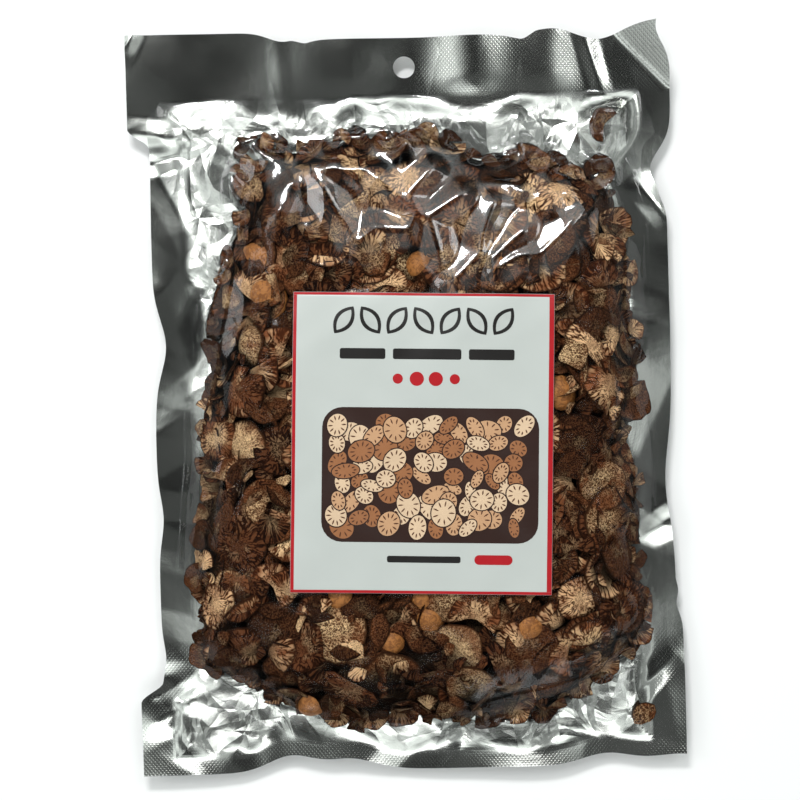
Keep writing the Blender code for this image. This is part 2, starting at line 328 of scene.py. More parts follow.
def inside_seals(x, y):
    """Distance in from the inner line of the seals. It is negative on the seals."""
    return np.minimum.reduce([
        x + POUCH_WIDTH / 2 - pulled_in(y, LEFT_PINCHES) - SIDE_SEAL,
        POUCH_WIDTH / 2 - pulled_in(y, RIGHT_PINCHES) - SIDE_SEAL - x,
        y + POUCH_HEIGHT / 2 - pulled_in(x, BOTTOM_PINCHES) - BOTTOM_SEAL,
        HEADER_FOOT - y,
    ])


def inside_fill(x, y):
    """Distance in from the edge of the filled part, soft at its corners. It is negative outside."""
    edges = zip(FILL_CORNERS, FILL_CORNERS[1:] + FILL_CORNERS[:1])
    return -FILL_SOFT * np.log(sum(np.exp(beside(x, y, *edge) / FILL_SOFT) for edge in edges))


def seal_level(x, y):
    """Height of the sealed web, which waves and has one corner folded up along a crease."""
    length_x, length_y = SEAL_WAVE_LENGTHS
    wave = np.sin(x / length_x * math.tau + SEAL_WAVE_START) * np.cos(y / length_y * math.tau)
    return SEAL_LEVEL + SEAL_WAVE * wave + CORNER_SLOPE * np.maximum(beside(x, y, *CORNER_CREASE), 0.0)


def full_height(x, y):
    """Height of the filled middle, before its soft shoulders."""
    lumps = sum(
        height * np.sin(x / length_x * math.tau + start_x) * np.sin(y / length_y * math.tau + start_y)
        for height, length_x, length_y, start_x, start_y in LUMPS
    )
    return FILL_TOP + lumps - THINNER_AT_TOP * soft_step((y - THINNER_FROM) / THINNER_OVER)


def ragged_depth(x, y):
    """Distance in from the edge of the slices, which is less even than that of the filled part."""
    broad = EDGE_WANDER[0] * np.sin(x / 11.0 + 1.3) * np.sin(y / 14.0)
    fine = EDGE_WANDER[1] * np.sin(x / 6.1 - y / 7.3 + 0.5)
    right = BACK_AT_RIGHT * (soft_step((x - 50.0) / 30.0) * soft_step((y + 110.0) / 40.0))
    top = soft_step((y - 72.0) / 26.0) * (BACK_AT_TOP + BACK_AT_TOP_RIGHT * soft_step((x - 15.0) / 30.0))
    foot = BACK_AT_FOOT * soft_step((-102.0 - y) / 24.0)
    return inside_fill(x, y) + (broad + fine) - EDGE_BACK - top - foot - right


def emptiness(x, y):
    """1 where the pouch is neither sealed nor filled, so that film and foil lie crumpled together."""
    from_seal = inside_seals(x, y) + 1.5 * np.sin(x / 9.0 + 0.6 * np.sin(y / 7.0)) * np.sin(y / 11.0)
    return soft_step(from_seal / 12.0) * soft_step((2.0 - ragged_depth(x, y)) / 4.0)


def shoulder_share(depth):
    """0 at the edge of the filled part, and 1 where it is full."""
    return 1.0 - (1.0 - np.clip(depth / SHOULDER, 0.0, 1.0)) ** SHOULDER_POWER


def slid(field, steps, axis):
    """The raster moved by whole steps, with its edge repeated."""
    last = field.shape[axis] - 1
    return np.take(field, np.clip(np.arange(last + 1) + steps, 0, last), axis=axis)


def blurred(field, radius):
    """The raster with a Gaussian blur of this radius."""
    reach = int(2.5 * radius / GRID)
    for axis in (0, 1):
        total = np.zeros_like(field)
        weight = 0.0
        for steps in range(-reach, reach + 1):
            share = math.exp(-0.5 * (steps * GRID / radius) ** 2)
            total += share * slid(field, steps, axis)
            weight += share
        field = total / weight
    return field


def swollen(field, radius):
    """The highest surface that bowls of this radius, set on every point of the raster, reach."""
    for axis in (0, 1):
        best = field
        for steps in range(-BOWL_REACH, BOWL_REACH + 1):
            best = np.maximum(best, slid(field, steps, axis) - (steps * GRID) ** 2 / (2.0 * radius))
        field = best
    return field


def drawn_tight(field, radius):
    """A film sucked down over the raster: it bridges from point to point in arcs of this radius."""
    return -swollen(-swollen(field, radius), radius)


def sample(field, x, y):
    """Values of the raster between its points."""
    column = np.clip((x + REACH_X) / GRID, 0.0, field.shape[0] - 1.001)
    row = np.clip((y + REACH_Y) / GRID, 0.0, field.shape[1] - 1.001)
    c, r = column.astype(int), row.astype(int)
    u, v = column - c, row - r
    low = field[c, r] * (1 - u) + field[c + 1, r] * u
    high = field[c, r + 1] * (1 - u) + field[c + 1, r + 1] * u
    return low * (1 - v) + high * v


def cells(x, y):
    """The raster cells that hold these places."""
    column = np.clip(np.rint((x + REACH_X) / GRID).astype(int), 0, len(AXIS_X) - 1)
    row = np.clip(np.rint((y + REACH_Y) / GRID).astype(int), 0, len(AXIS_Y) - 1)
    return column, row


def ridges(x, y, folds):
    """Heights of sharp crested folds, each with its start, end, width and height."""
    total = 0
    for start, end, width, height in folds:
        fade = np.clip(1.0 - (2.0 * along_line(x, y, start, end) - 1.0) ** 2, 0.0, 1.0)
        total = total + height * np.clip(1.0 - np.abs(beside(x, y, start, end)) / width, 0.0, 1.0) * fade
    return total


class Web:
    """The pouch without its slices: where the foil's upper face lies, with all its folds."""

    def __init__(self, draw):
        self.loose = self.random_folds(draw, *LOOSE_FOLDS, outward=0.55)
        self.stiff = self.random_folds(draw, *STIFF_FOLDS, outward=0.0)

    @staticmethod
    def random_folds(draw, count, lengths, widths, heights, outward):
        """Folds at random places. A share of them run from the slices out to the seals."""
        folds = []
        for _ in range(count):
            middle = Vector((draw.uniform(-REACH_X, REACH_X), draw.uniform(-REACH_Y, REACH_Y)))
            angle = draw.uniform(0.0, math.pi)
            if outward and draw.random() < outward:
                angle = math.atan2(middle.y / 1.3, middle.x) + draw.gauss(0.0, 0.35)
            half = Vector((math.cos(angle), math.sin(angle))) * draw.uniform(*lengths) / 2
            height = draw.uniform(*heights) * draw.choice((-1.0, 1.0))
            folds.append((middle - half, middle + half, draw.uniform(*widths), height))
        return folds

    def height(self, x, y):
        """Heights of the foil's upper face: folded seals, crumpled empty part, and flat under the slices."""
        empty = emptiness(x, y)
        stiff = ridges(x, y, self.stiff) * soft_step((HEADER_FOOT - y) / 10.0) + ridges(x, y, PLACED_FOLDS)
        header = soft_step((y - POUCH_HEIGHT / 2 + HEADER_DEPTH + 8.0) / 16.0)
        for where, width, height in HEADER_WAVES:
            stiff = stiff + header * height * np.exp(-(((x - where) / width) ** 2))
        loose = ridges(x, y, self.loose) * empty * 0.75
        drawn_up = (1.0 + 1.8 * soft_step((np.abs(y) - 85.0) / 20.0)) * soft_step(inside_seals(x, y) / 14.0)
        sealed = seal_level(x, y) + stiff * (1.0 - 0.6 * empty) + loose + drawn_up
        under = 1.0 - soft_step((ragged_depth(x, y) - 2.0) / 14.0)
        return np.maximum(between(FOIL_LEVEL, sealed, under), FOIL_LEVEL)


# Meshes

def mesh_object(name, points, faces, smooth=True):
    """A new object at the origin from points in millimetres."""
    mesh = bpy.data.meshes.new(name)
    mesh.from_pydata((np.asarray(points) * MM).tolist(), [], faces)
    mesh.update()
    if smooth:
        mesh.shade_smooth()
    thing = bpy.data.objects.new(name, mesh)
    bpy.context.scene.collection.objects.link(thing)
    return thing


def evaluated_mesh(thing):
    """The object's mesh with its modifiers worked in."""
    graph = bpy.context.evaluated_depsgraph_get()
    return bpy.data.meshes.new_from_object(thing.evaluated_get(graph))


def add_values(mesh, name, values):
    """Stores a number or a vector for each point of the mesh."""
    values = np.asarray(values, dtype=np.float32)
    kind, field = ("FLOAT", "value") if values.ndim == 1 else ("FLOAT_VECTOR", "vector")
    mesh.attributes.new(name, kind, "POINT").data.foreach_set(field, values.ravel())


def points_of(mesh):
    """The mesh's points in millimetres."""
    points = np.empty(len(mesh.vertices) * 3)
    mesh.vertices.foreach_get("co", points)
    return points.reshape(-1, 3) / MM


def spread_points(mesh, shares):
    """Points on each triangle of the mesh, for each pair of shares of its first two corners."""
    mesh.calc_loop_triangles()
    points = points_of(mesh)
    corners = np.empty(len(mesh.loop_triangles) * 3, dtype=int)
    mesh.loop_triangles.foreach_get("vertices", corners)
    a, b, c = (points[corners[i::3]] for i in range(3))
    return [a * u + b * v + c * (1 - u - v) for u, v in shares]


def top_of(things):
    """The raster of the highest point over each cell of these objects."""
    highest = np.full(RASTER[0].shape, NOWHERE)
    corners_and_middles = ((1, 0), (0, 1), (0, 0), (0.5, 0.5), (0.5, 0), (0, 0.5))
    inner = ((0.33, 0.33), (0.67, 0.16), (0.16, 0.67), (0.16, 0.16))
    for thing in things:
        for spots in spread_points(thing.data, corners_and_middles + inner):
            np.maximum.at(highest, cells(spots[:, 0], spots[:, 1]), spots[:, 2])
    return highest


def closed_sheet(name, x, y, top, bottom):
    """A thin closed sheet from a grid of places and its two heights."""
    points = np.concatenate([np.stack([x, y, z], axis=-1).reshape(-1, 3) for z in (top, bottom)])
    number = np.arange(x.size).reshape(x.shape)
    quads = np.stack([number[:-1, :-1], number[1:, :-1], number[1:, 1:], number[:-1, 1:]], axis=-1)
    quads = quads.reshape(-1, 4)
    rim = np.concatenate([number[:, 0], number[-1, 1:], number[-2::-1, -1], number[0, -2:0:-1]])
    after = np.roll(rim, -1)
    sides = np.stack([rim + x.size, after + x.size, after, rim], axis=-1)
    faces = np.concatenate([quads, (quads + x.size)[:, ::-1], sides])
    return mesh_object(name, points, faces.tolist())


def closed_fan(segments, rings):
    """Faces of a round closed piece: rings of points round a middle one, the same below, and its rim."""
    count = 1 + rings * segments
    last = count - segments
    faces = []
    for first, step in ((0, 1), (count, -1)):
        for s in range(segments):
            t = (s + 1) % segments
            around = [[first, first + 1 + s, first + 1 + t]]
            for inner in range(first + 1, first + last, segments):
                outer = inner + segments
                around.append([inner + s, outer + s, outer + t, inner + t])
            faces += [face[::step] for face in around]
    for s in range(segments):
        t = (s + 1) % segments
        faces.append([last + s, count + last + s, count + last + t, last + t])
    return faces


def mark_web(mesh, x, y):
    """Stores where the web is crumpled, and where the heated bars that sealed it left dents."""
    outside = soft_step(0.5 - inside_seals(x, y) / 2.0)
    header = soft_step((x - 5.0) / 3.0) * (y > HEADER_FOOT)
    foot = soft_step((-92.0 - y) / 12.0)
    add_values(mesh, "empty", np.tile(emptiness(x, y).ravel(), 2))
    add_values(mesh, "dented", np.tile((outside * np.maximum(header, foot)).ravel(), 2))


def punch(sheet, radius):
    """Cuts the hang hole."""
    turns = np.arange(HOLE_SIDES) * math.tau / HOLE_SIDES
    ring_x = HOLE_PLACE[0] + radius * np.cos(turns)
    ring_y = HOLE_PLACE[1] + radius * np.sin(turns)
    low = np.stack([ring_x, ring_y, np.full(HOLE_SIDES, CUTTER_FROM)], axis=-1)
    high = low + (0.0, 0.0, CUTTER_DEPTH)
    n = HOLE_SIDES
    faces = [[i, (i + 1) % n, n + (i + 1) % n, n + i] for i in range(n)]
    faces += [list(range(n))[::-1], list(range(n, 2 * n))]
    cutter = mesh_object("hole_cutter", np.concatenate([low, high]), faces, smooth=False)
    cut = sheet.modifiers.new("hang_hole", "BOOLEAN")
    cut.operation = "DIFFERENCE"
    cut.object = cutter
    cut.solver = "MANIFOLD"
    mesh = evaluated_mesh(sheet)
    sheet.modifiers.remove(cut)
    sheet.data = mesh
    mesh.materials.clear()
    mesh.shade_smooth()
    mesh.set_sharp_from_angle(angle=math.radians(60))
    bpy.data.objects.remove(cutter)


def finish_piece(piece, slot, node, *materials):
    """Gives the piece its materials, sets it on the root body and hides the imported solid it stands for. The
    slot is not used.
    """
    for material in materials:
        piece.data.materials.append(material)
    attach(piece, "root")
    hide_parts(node)


# Nodes

PLUS = {"operation": "ADD"}
MINUS = {"operation": "SUBTRACT"}
TIMES = {"operation": "MULTIPLY"}
SOFT = {"interpolation_type": "SMOOTHSTEP"}
COLOURS = {"data_type": "RGBA", "out": 2}


def linear(code):
    """A hex sRGB colour as linear red, green, blue and alpha."""
    parts = [int(code[i:i + 2], 16) / 255 for i in (1, 3, 5)]
    return tuple(p / 12.92 if p <= 0.04045 else ((p + 0.055) / 1.055) ** 2.4 for p in parts) + (1.0,)


def add_node(tree, kind, *inputs, out=0, **settings):
    """Adds a node and gives one of its outputs. Its inputs come in order, or in a table by name or number."""
    node = tree.nodes.new(kind if "Node" in kind else "ShaderNode" + kind)
    for name, value in settings.items():
        setattr(node, name, value)
    table = inputs[0] if inputs and isinstance(inputs[0], dict) else dict(enumerate(inputs))
    for name, value in table.items():
        if isinstance(value, bpy.types.NodeSocket):
            tree.links.new(value, node.inputs[name])
        else:
            node.inputs[name].default_value = value
    return node.outputs[out] if node.outputs else node


def new_material(name):
    """An empty material, and a function that adds a node to it."""
    material = bpy.data.materials.new(name)
    material.use_nodes = True
    material.node_tree.nodes.clear()
    return material, functools.partial(add_node, material.node_tree)


# Materials

# Facets of crumpled web: their size, how steep they are, and how they are stretched
FACETS = ((20.0, 0.55, (1.0, 0.55, 1.0)), (8.0, 0.22, (0.6, 1.0, 1.0)), (3.6, 0.1, (1.0, 0.7, 1.0)))

# The dents that the heated bars leave are staggered
DENT_APART = 1.5
DENT_ROWS_APART = 0.9

# The share of red, green and blue that one layer of film lets through
LET_THROUGH = (0.985, 0.985, 0.98, 1.0)


def crumple_height(add, place, strength, layers):
    """Flat facets of crumpled web, like low roofs over cells of up to three sizes, as a height in metres."""
    wander = {"Vector": place, "Scale": 1 / (30 * MM), "Detail": 1.0}
    warp = add("TexNoise", wander, out="Color", noise_dimensions="2D")
    pushed = add("VectorMath", {0: warp, "Scale": 14 * MM}, operation="SCALE")
    total = 0.0
    for size, slope, stretch in FACETS[:layers]:
        spot = add("VectorMath", add("VectorMath", place, pushed, **PLUS), stretch, **TIMES)
        facets = {"Vector": spot, "Scale": 1 / (size * MM)}
        facet = add("TexVoronoi", facets, out="Color", voronoi_dimensions="2D")
        edge = add("TexVoronoi", facets, out="Distance", voronoi_dimensions="2D", feature="DISTANCE_TO_EDGE")
        lean = add("Math", add("SeparateColor", facet), 0.5, **MINUS)
        lean = add("Math", lean, slope * 2.0 * size * MM, **TIMES)
        total = add("Math", total, add("Math", edge, lean, **TIMES), **PLUS)
    return add("Math", total, strength, **TIMES)


def foil_laminate(settings):
    """Aluminium foil laminate, rolled bright and bonded under clear film.

    It mirrors the room a little blurred. The heated bars that sealed it left staggered rows of small dents,
    which are drawn at their real size.
    """
    material, add = new_material("aluminium_foil_laminate")
    place = add("TexCoord", out="Object")
    empty, dented = (add("Attribute", out="Fac", attribute_name=name) for name in ("empty", "dented"))
    waves = []
    for part, apart in zip(add("SeparateXYZ", place).node.outputs, (DENT_APART, 2 * DENT_ROWS_APART)):
        waves.append(add("Math", add("Math", part, math.tau / (apart * MM), **TIMES), operation="SINE"))
    dents = add("MapRange", add("Math", *waves, **TIMES), 0.1, 0.9, **SOFT)
    dents = add("Math", add("Math", dents, dented, **TIMES), -0.015 * MM, **TIMES)
    clouds = add("TexNoise", {"Vector": place, "Scale": 28.0, "Detail": 3.0})
    fine = add("TexNoise", {"Vector": place, "Scale": 420.0, "Detail": 2.0})
    strength = add("Math", add("Math", empty, 0.97, **TIMES), 0.03, **PLUS)
    height = add("Math", dents, crumple_height(add, place, strength, 3), **PLUS)
    height = add("Math", height, add("Math", fine, 0.02 * MM, **TIMES), **PLUS)
    rough = add("MapRange", clouds, 0.3, 0.7, 0.12, 0.16, **SOFT)
    tints = {0: clouds, 6: linear(settings.foil_dark), 7: linear(settings.foil_light)}
    add("OutputMaterial", add("BsdfPrincipled", {
        "Base Color": add("Mix", tints, **COLOURS),
        "Metallic": 1.0,
        "Roughness": add("Math", rough, add("Math", empty, 0.11, **TIMES), **PLUS),
        "Normal": add("Bump", {"Height": height, "Strength": 1.0, "Distance": 1.0}),
    }))
    return material


def film_lining():
    """The inner face of the vacuum film, which lies on the slices: it only lets light through."""
    material, add = new_material("clear_film_lining")
    add("OutputMaterial", add("BsdfTransparent", LET_THROUGH))
    return material


def clear_film():
    """Nylon and polythene film, blown clear: it lets nearly all light through and mirrors lamps sharply.

    It mirrors a few hundredths of the light, and much more at a low angle and where it is loose.
    """
    material, add = new_material("clear_vacuum_film")
    place = add("TexCoord", out="Object")
    empty, loose = (add("Attribute", out="Fac", attribute_name=name) for name in ("empty", "loose"))
    strength = add("Math", add("Math", empty, 0.75, **TIMES), 0.25, **PLUS)
    height = crumple_height(add, place, strength, 1)
    grazing = add("Math", add("LayerWeight", 0.5, out="Facing"), 4.0, operation="POWER")
    share = add("MapRange", grazing, 0.0, 1.0, 0.004, 0.028, **SOFT)
    share = add("Math", share, add("MapRange", loose, 0.0, 1.0, 1.0, 24.0, **SOFT), **TIMES)
    gloss = add("BsdfGlossy", {
        "Color": linear("#FFFFFF"),
        "Roughness": 0.09,
        "Normal": add("Bump", {"Height": height, "Strength": 1.0, "Distance": 1.0}),
    })
    add("OutputMaterial", add("MixShader", share, add("BsdfTransparent", LET_THROUGH), gloss))
    return material


def cut_nut(settings):
    """The cut face of a dried areca nut, sliced and dried hard.

    Thin dark seams of seed coat run in from the rim and fork through the cream kernel. A slice from near the
    side of the nut shows them end on, as a fine net. Most slices have browned as they dried. Painted shade
    darkens what lies deep between others, and the slices towards the foot. Places on a slice are in
    millimetres, so a scale of 0.25 spreads over 4 mm.
    """
    material, add = new_material("dried_areca_kernel")
    cut, grain = (add("Attribute", out="Vector", attribute_name=name) for name in ("cut", "grain"))
    tone, netted, rim, painted_shade_depth = (
        add("Attribute", out="Fac", attribute_name=name) for name in ("tone", "netted", "rim", "painted_shade_depth")
    )
    spot = add("VectorMath", cut, grain, **PLUS)
    warp, clouds, patches, fibre = (
        add("TexNoise", {"Vector": spot, "Scale": scale, "Detail": detail}, out=out)
        for scale, detail, out in (
            (0.25, 2.0, "Color"), (0.13, 3.0, "Fac"), (0.3, 2.0, "Fac"), (0.6, 3.0, "Fac"),
        )
    )
    warp = add("VectorMath", warp, (0.5, 0.5, 0.5), **MINUS)
    warp = add("VectorMath", {0: warp, "Scale": 2.4}, operation="SCALE")
    bent = add("VectorMath", cut, warp, **PLUS)
    far = add("VectorMath", bent, out="Value", operation="LENGTH")

    # Seams follow the direction from the middle, and the net follows the place
    outward = add("VectorMath", bent, operation="NORMALIZE")
    outward = add("VectorMath", {0: outward, "Scale": 5.6}, operation="SCALE")
    drift = add("VectorMath", {0: bent, "Scale": 0.05}, operation="SCALE")
    outward = add("VectorMath", add("VectorMath", outward, drift, **PLUS), grain, **PLUS)
    net_place = add("VectorMath", bent, grain, **PLUS)
    netting = {"Vector": net_place, "Scale": 1.05, "Detail": 1.0, "Distortion": 0.3}
    seams, net = (
        add("Math", add("Math", add("TexNoise", noise), 0.5, **MINUS), operation="ABSOLUTE")
        for noise in ({"Vector": outward, "Scale": 1.0, "Detail": 1.5}, netting)
    )
    width = add("MapRange", far, 0.5, 11.0, 0.0, 0.04, **SOFT)
    width = add("Math", width, add("Math", add("Math", 1.0, tone, **MINUS), 0.03, **TIMES), **PLUS)
    clear = add("Mix", {
        0: add("MapRange", netted, 0.55, 0.65, **SOFT),
        2: add("MapRange", add("Math", seams, width, **MINUS), -0.02, 0.07, **SOFT),
        3: add("MapRange", net, 0.0, 0.1, 1.0, 0.06, **SOFT),
    })

    # The kernel browns in clouds, outward from the middle, and more where it is netted
    browned = add("MapRange", clouds, 0.38, 0.62, 0.2, 0.9, **SOFT)
    browned = add("Math", browned, add("MapRange", far, 2.0, 10.0, 0.0, 0.6, **SOFT), **PLUS)
    browned = add("Math", browned, add("Math", netted, 0.35, **TIMES), **PLUS)
    browned = add("Math", browned, add("Math", tone, 2.6, operation="POWER"), use_clamp=True, **MINUS)
    cream, brown = linear(settings.kernel_cream), linear(settings.kernel_brown)
    kernel = add("Mix", {0: browned, 6: cream, 7: brown}, **COLOURS)
    warm = add("MapRange", patches, 0.3, 0.7, 0.0, 0.5, **SOFT)
    warm = add("Math", warm, add("Math", tone, 0.5, **TIMES), **PLUS)
    seam = add("Mix", {0: warm, 6: linear(settings.seam_dark), 7: linear(settings.seam_light)}, **COLOURS)
    face = add("Mix", {0: clear, 6: seam, 7: kernel}, **COLOURS)
    at_rim = add("MapRange", rim, 0.9, 1.0, **SOFT)
    face = add("Mix", {0: at_rim, 6: face, 7: linear(settings.rim_brown)}, **COLOURS)

    # Each slice has its own tone, and painted shade darkens it with its depth under the film and towards the
    # foot
    shade = add("MapRange", tone, 0.0, 1.0, settings.darkest, settings.lightest, **SOFT)
    shade = add("Math", shade, add("MapRange", painted_shade_depth, 0.2, 4.2, 1.25, 0.12, **SOFT), **TIMES)
    ruddy = add("Math", shade, add("MapRange", netted, 0.0, 1.0, 0.93, 1.03, **SOFT), **TIMES)
    shade = add("CombineColor", shade, ruddy, ruddy)
    height = add("Math", clear, 0.15 * MM, **TIMES)
    height = add("Math", height, add("Math", fibre, 1.1 * MM, **TIMES), **PLUS)
    add("OutputMaterial", add("BsdfPrincipled", {
        "Base Color": add("Mix", {0: 1.0, 6: face, 7: shade}, blend_type="MULTIPLY", **COLOURS),
        "Roughness": 0.7,
        "IOR": 1.45,
        "Specular IOR Level": 0.06,
        "Normal": add("Bump", {"Height": height, "Strength": 1.0, "Distance": 1.0}),
    }))
    return material


def nut_skin(settings):
    """The skin of the nut's end, scraped smooth and dried: tan, with fine darker veins and a soft gloss."""
    material, add = new_material("areca_seed_coat")
    cut, grain = (add("Attribute", out="Vector", attribute_name=name) for name in ("cut", "grain"))
    spot = add("VectorMath", cut, grain, **PLUS)
    veins = add("TexNoise", {"Vector": spot, "Scale": 0.5, "Detail": 4.0, "Distortion": 1.5})
    share = add("MapRange", veins, 0.4, 0.62, **SOFT)
    tints = {0: share, 6: linear(settings.skin_dark), 7: linear(settings.skin_light)}
    add("OutputMaterial", add("BsdfPrincipled", {
        "Base Color": add("Mix", tints, **COLOURS),
        "Roughness": 0.55,
        "IOR": 1.45,
        "Specular IOR Level": 0.3,
        "Normal": add("Bump", {"Height": veins, "Strength": 0.5, "Distance": 0.5 * MM}),
    }))
    return material


def nut_crumb_and_shade(settings):
    """Dust and small crumbs of dried nut between the slices: dark, and darker still as painted shade, rough
    and uneven, with grit of 2.2 mm.
    """
    material, add = new_material("areca_crumb_and_painted_shade")
    grit = add("TexNoise", {"Vector": add("TexCoord", out="Object"), "Scale": 1 / (2.2 * MM), "Detail": 3.0})
    share = add("MapRange", grit, 0.4, 0.66, **SOFT)
    tints = {0: share, 6: linear(settings.crumb_and_shade_dark), 7: linear(settings.crumb_and_shade_light)}
    add("OutputMaterial", add("BsdfPrincipled", {
        "Base Color": add("Mix", tints, **COLOURS),
        "Roughness": 0.9,
        "Specular IOR Level": 0.1,
        "Normal": add("Bump", {"Height": grit, "Strength": 0.9, "Distance": 0.6 * MM}),
    }))
    return material


def label_paper(settings):
    """Coated label paper, calendered: a cool white with a faint sheen and a little fibre."""
    material, add = new_material("coated_label_paper")
    place = add("TexCoord", out="Object")
    fibre = add("TexNoise", {"Vector": place, "Scale": 60.0, "Detail": 4.0})
    fine = add("TexNoise", {"Vector": place, "Scale": 900.0, "Detail": 2.0})
    tints = {0: fibre, 6: linear(settings.paper_shade), 7: linear(settings.paper_white)}
    add("OutputMaterial", add("BsdfPrincipled", {
        "Base Color": add("Mix", tints, **COLOURS),
        "Roughness": 0.42,
        "Normal": add("Bump", {"Height": fine, "Strength": 0.15, "Distance": 0.05 * MM}),
    }))
    return material


def printing_ink(name, code):
    """Offset printing ink on coated paper: flat colour with a soft sheen and a slight mottle."""
    material, add = new_material(name)
    mottle = add("TexNoise", {"Vector": add("TexCoord", out="Object"), "Scale": 240.0, "Detail": 2.0})
    darker = tuple(part * 0.82 for part in linear(code)[:3]) + (1.0,)
    tint = add("Mix", {0: mottle, 6: darker, 7: linear(code)}, **COLOURS)
    add("OutputMaterial", add("BsdfPrincipled", {"Base Color": tint, "Roughness": 0.36}))
    return material


def white_board():
    """Smooth white card, matt, with faint clouds."""
    material, add = new_material("white_board")
    cloud = add("TexNoise", {"Vector": add("TexCoord", out="Object"), "Scale": 3.0})
    tint = add("Mix", {0: cloud, 6: linear("#F4F4F4"), 7: linear("#F9F9F9")}, **COLOURS)
    add("OutputMaterial", add("BsdfPrincipled", {"Base Color": tint, "Roughness": 0.9}))
    return material


# The slices

def section_reach(angles, centre, radius, chords, bites):
    """How far a slice reaches from its own middle at each angle, and where that is the nut's rim.

    A slice is a round section of the nut, less what chords cut off and what round bites take out.
    """
    dx, dy = np.cos(angles), np.sin(angles)
    cx, cy = centre
    along = cx * dx + cy * dy
    reach = -along + np.sqrt(along ** 2 - cx ** 2 - cy ** 2 + radius ** 2)
    rim = np.ones_like(reach)
    stops = []
    for direction, offset in chords:
        nx, ny = math.cos(direction), math.sin(direction)
        towards = nx * dx + ny * dy
        stops.append(np.where(towards > 1e-3, (offset - nx * cx - ny * cy) / np.maximum(towards, 1e-3), 1e3))
    for bx, by, size in bites:
        mx, my = cx - bx, cy - by
        towards = mx * dx + my * dy
        inside = towards ** 2 - (mx ** 2 + my ** 2 - size ** 2)
        met = (inside > 0) & (towards < 0)
        stops.append(np.where(met, -towards - np.sqrt(np.maximum(inside, 0.0)), 1e3))
    for stop in stops:
        rim = np.where(stop < reach, 0.0, rim)
        reach = np.minimum(reach, stop)
    return reach, rim


def break_off(draw, radius):
    """How a slice is broken: its new middle, the chords that cut it and the bites out of it."""
    facing = draw.uniform(0.0, math.tau)
    style = draw.random()
    chords, bites = [], []
    if style < 0.45:
        chords = [(facing, draw.uniform(-0.25, 0.45) * radius)]
    elif style < 0.7:
        first = (facing, draw.uniform(0.1, 0.5) * radius)
        chords = [first, (facing + draw.uniform(1.4, 2.4), draw.uniform(0.0, 0.5) * radius)]
    else:
        middle = (math.cos(facing) * radius * 0.62, math.sin(facing) * radius * 0.62)
        bites = [(*middle, radius * draw.uniform(0.5, 0.75))]
    shift = draw.uniform(0.3, 0.42) * radius
    return (-math.cos(facing) * shift, -math.sin(facing) * shift), chords, bites


def slice_shape(draw, name, kind):
    """One slice as a mesh object, with its own small shape. Its face is in the XY plane."""
    chip = kind == "nut_chips"
    segments, rings = (CHIP_SEGMENTS, CHIP_RINGS) if chip else (SLICE_SEGMENTS, SLICE_RINGS)
    radius, thick, cup, saddle, bend = (draw.uniform(*limits) for limits in SLICE_LIMITS)
    centre, chords, bites, dome = (0.0, 0.0), [], [], 0.0
    if kind == "broken_slices":
        centre, chords, bites = break_off(draw, radius)
        bend = draw.uniform(*BROKEN_BENDS)
    if kind == "nut_ends":
        radius, thick, dome = draw.uniform(*END_RADII), END_THICKNESS, draw.uniform(*END_DOMES)
        cup, saddle, bend = 0.0, 0.0, 0.3
    if chip:
        radius, thick = draw.uniform(*CHIP_RADII), draw.uniform(*CHIP_THICKNESSES)
        cup, saddle, bend = draw.uniform(-0.8, 0.8), 0.0, 0.5
        chords = [(draw.uniform(0, math.tau), draw.uniform(0.2, 0.7) * radius)]
    angles = np.arange(segments) * math.tau / segments
    reach, on_rim = section_reach(angles, centre, radius, chords, bites)
    wobble = [draw.uniform(0.0, math.tau) for _ in range(3)]
    uneven = 1.0 + 0.035 * np.sin(2 * angles + wobble[0]) + 0.025 * np.sin(5 * angles + wobble[1])
    jag = 0.2 if chip else 0.025
    uneven += np.array([draw.uniform(-jag, jag) for _ in angles])
    ripple, waves = draw.uniform(0.1, 0.7), draw.choice((3, 4, 5))

    x = np.concatenate([[centre[0]]] + [centre[0] + ring * reach * uneven * np.cos(angles) for ring in rings])
    y = np.concatenate([[centre[1]]] + [centre[1] + ring * reach * uneven * np.sin(angles) for ring in rings])
    share = np.concatenate([[0.0]] + [np.full(segments, ring) for ring in rings])
    rim = np.concatenate([[0.0]] + [on_rim * ring for ring in rings])
    middle = cup * (np.hypot(x, y) / radius) ** 2 + saddle * (x ** 2 - y ** 2) / radius ** 2
    middle = middle + bend * (x / radius) ** 2
    middle = middle + ripple * np.sin(waves * np.arctan2(y, x) + wobble[2]) * (np.hypot(x, y) / radius) ** 3
    half = thick / 2 * (1.0 - 0.35 * share ** 8)
    high = np.stack([x, y, middle + half + dome * (1.0 - share ** 2.2)], axis=-1)
    low = np.stack([x, y, middle - half], axis=-1)
    thing = mesh_object(name, np.concatenate([high, low]), closed_fan(segments, len(rings)))

    # A chip comes from beside the middle of the nut, and the lower face has another pattern
    flat = np.stack([x, y, np.zeros(len(x))], axis=-1) + ((7.0, 2.0, 0.0) if chip else (0.0, 0.0, 0.0))
    skin = np.full(len(x), 1.0 if dome else 0.0)
    add_values(thing.data, "cut", np.concatenate([flat, flat + (0.0, 0.0, 3.0)]))
    add_values(thing.data, "rim", np.tile(rim, 2))
    add_values(thing.data, "skin", np.concatenate([skin, np.zeros(len(x))]))
    thing.data.set_sharp_from_angle(angle=math.radians(50))
    return thing


def shape_set(draw, kind, count):
    """Several shapes of a kind, taken out of the scene, each with points spread over both its faces."""
    made = []
    for number in range(count):
        thing = slice_shape(draw, f"{kind}_{number:02d}", kind)
        bpy.context.scene.collection.objects.unlink(thing)
        spread = spread_points(thing.data, ((0.33, 0.33), (0.5, 0.5), (0.5, 0.0), (0.0, 0.5)))
        made.append((thing, np.concatenate([points_of(thing.data), *spread])))
    return made


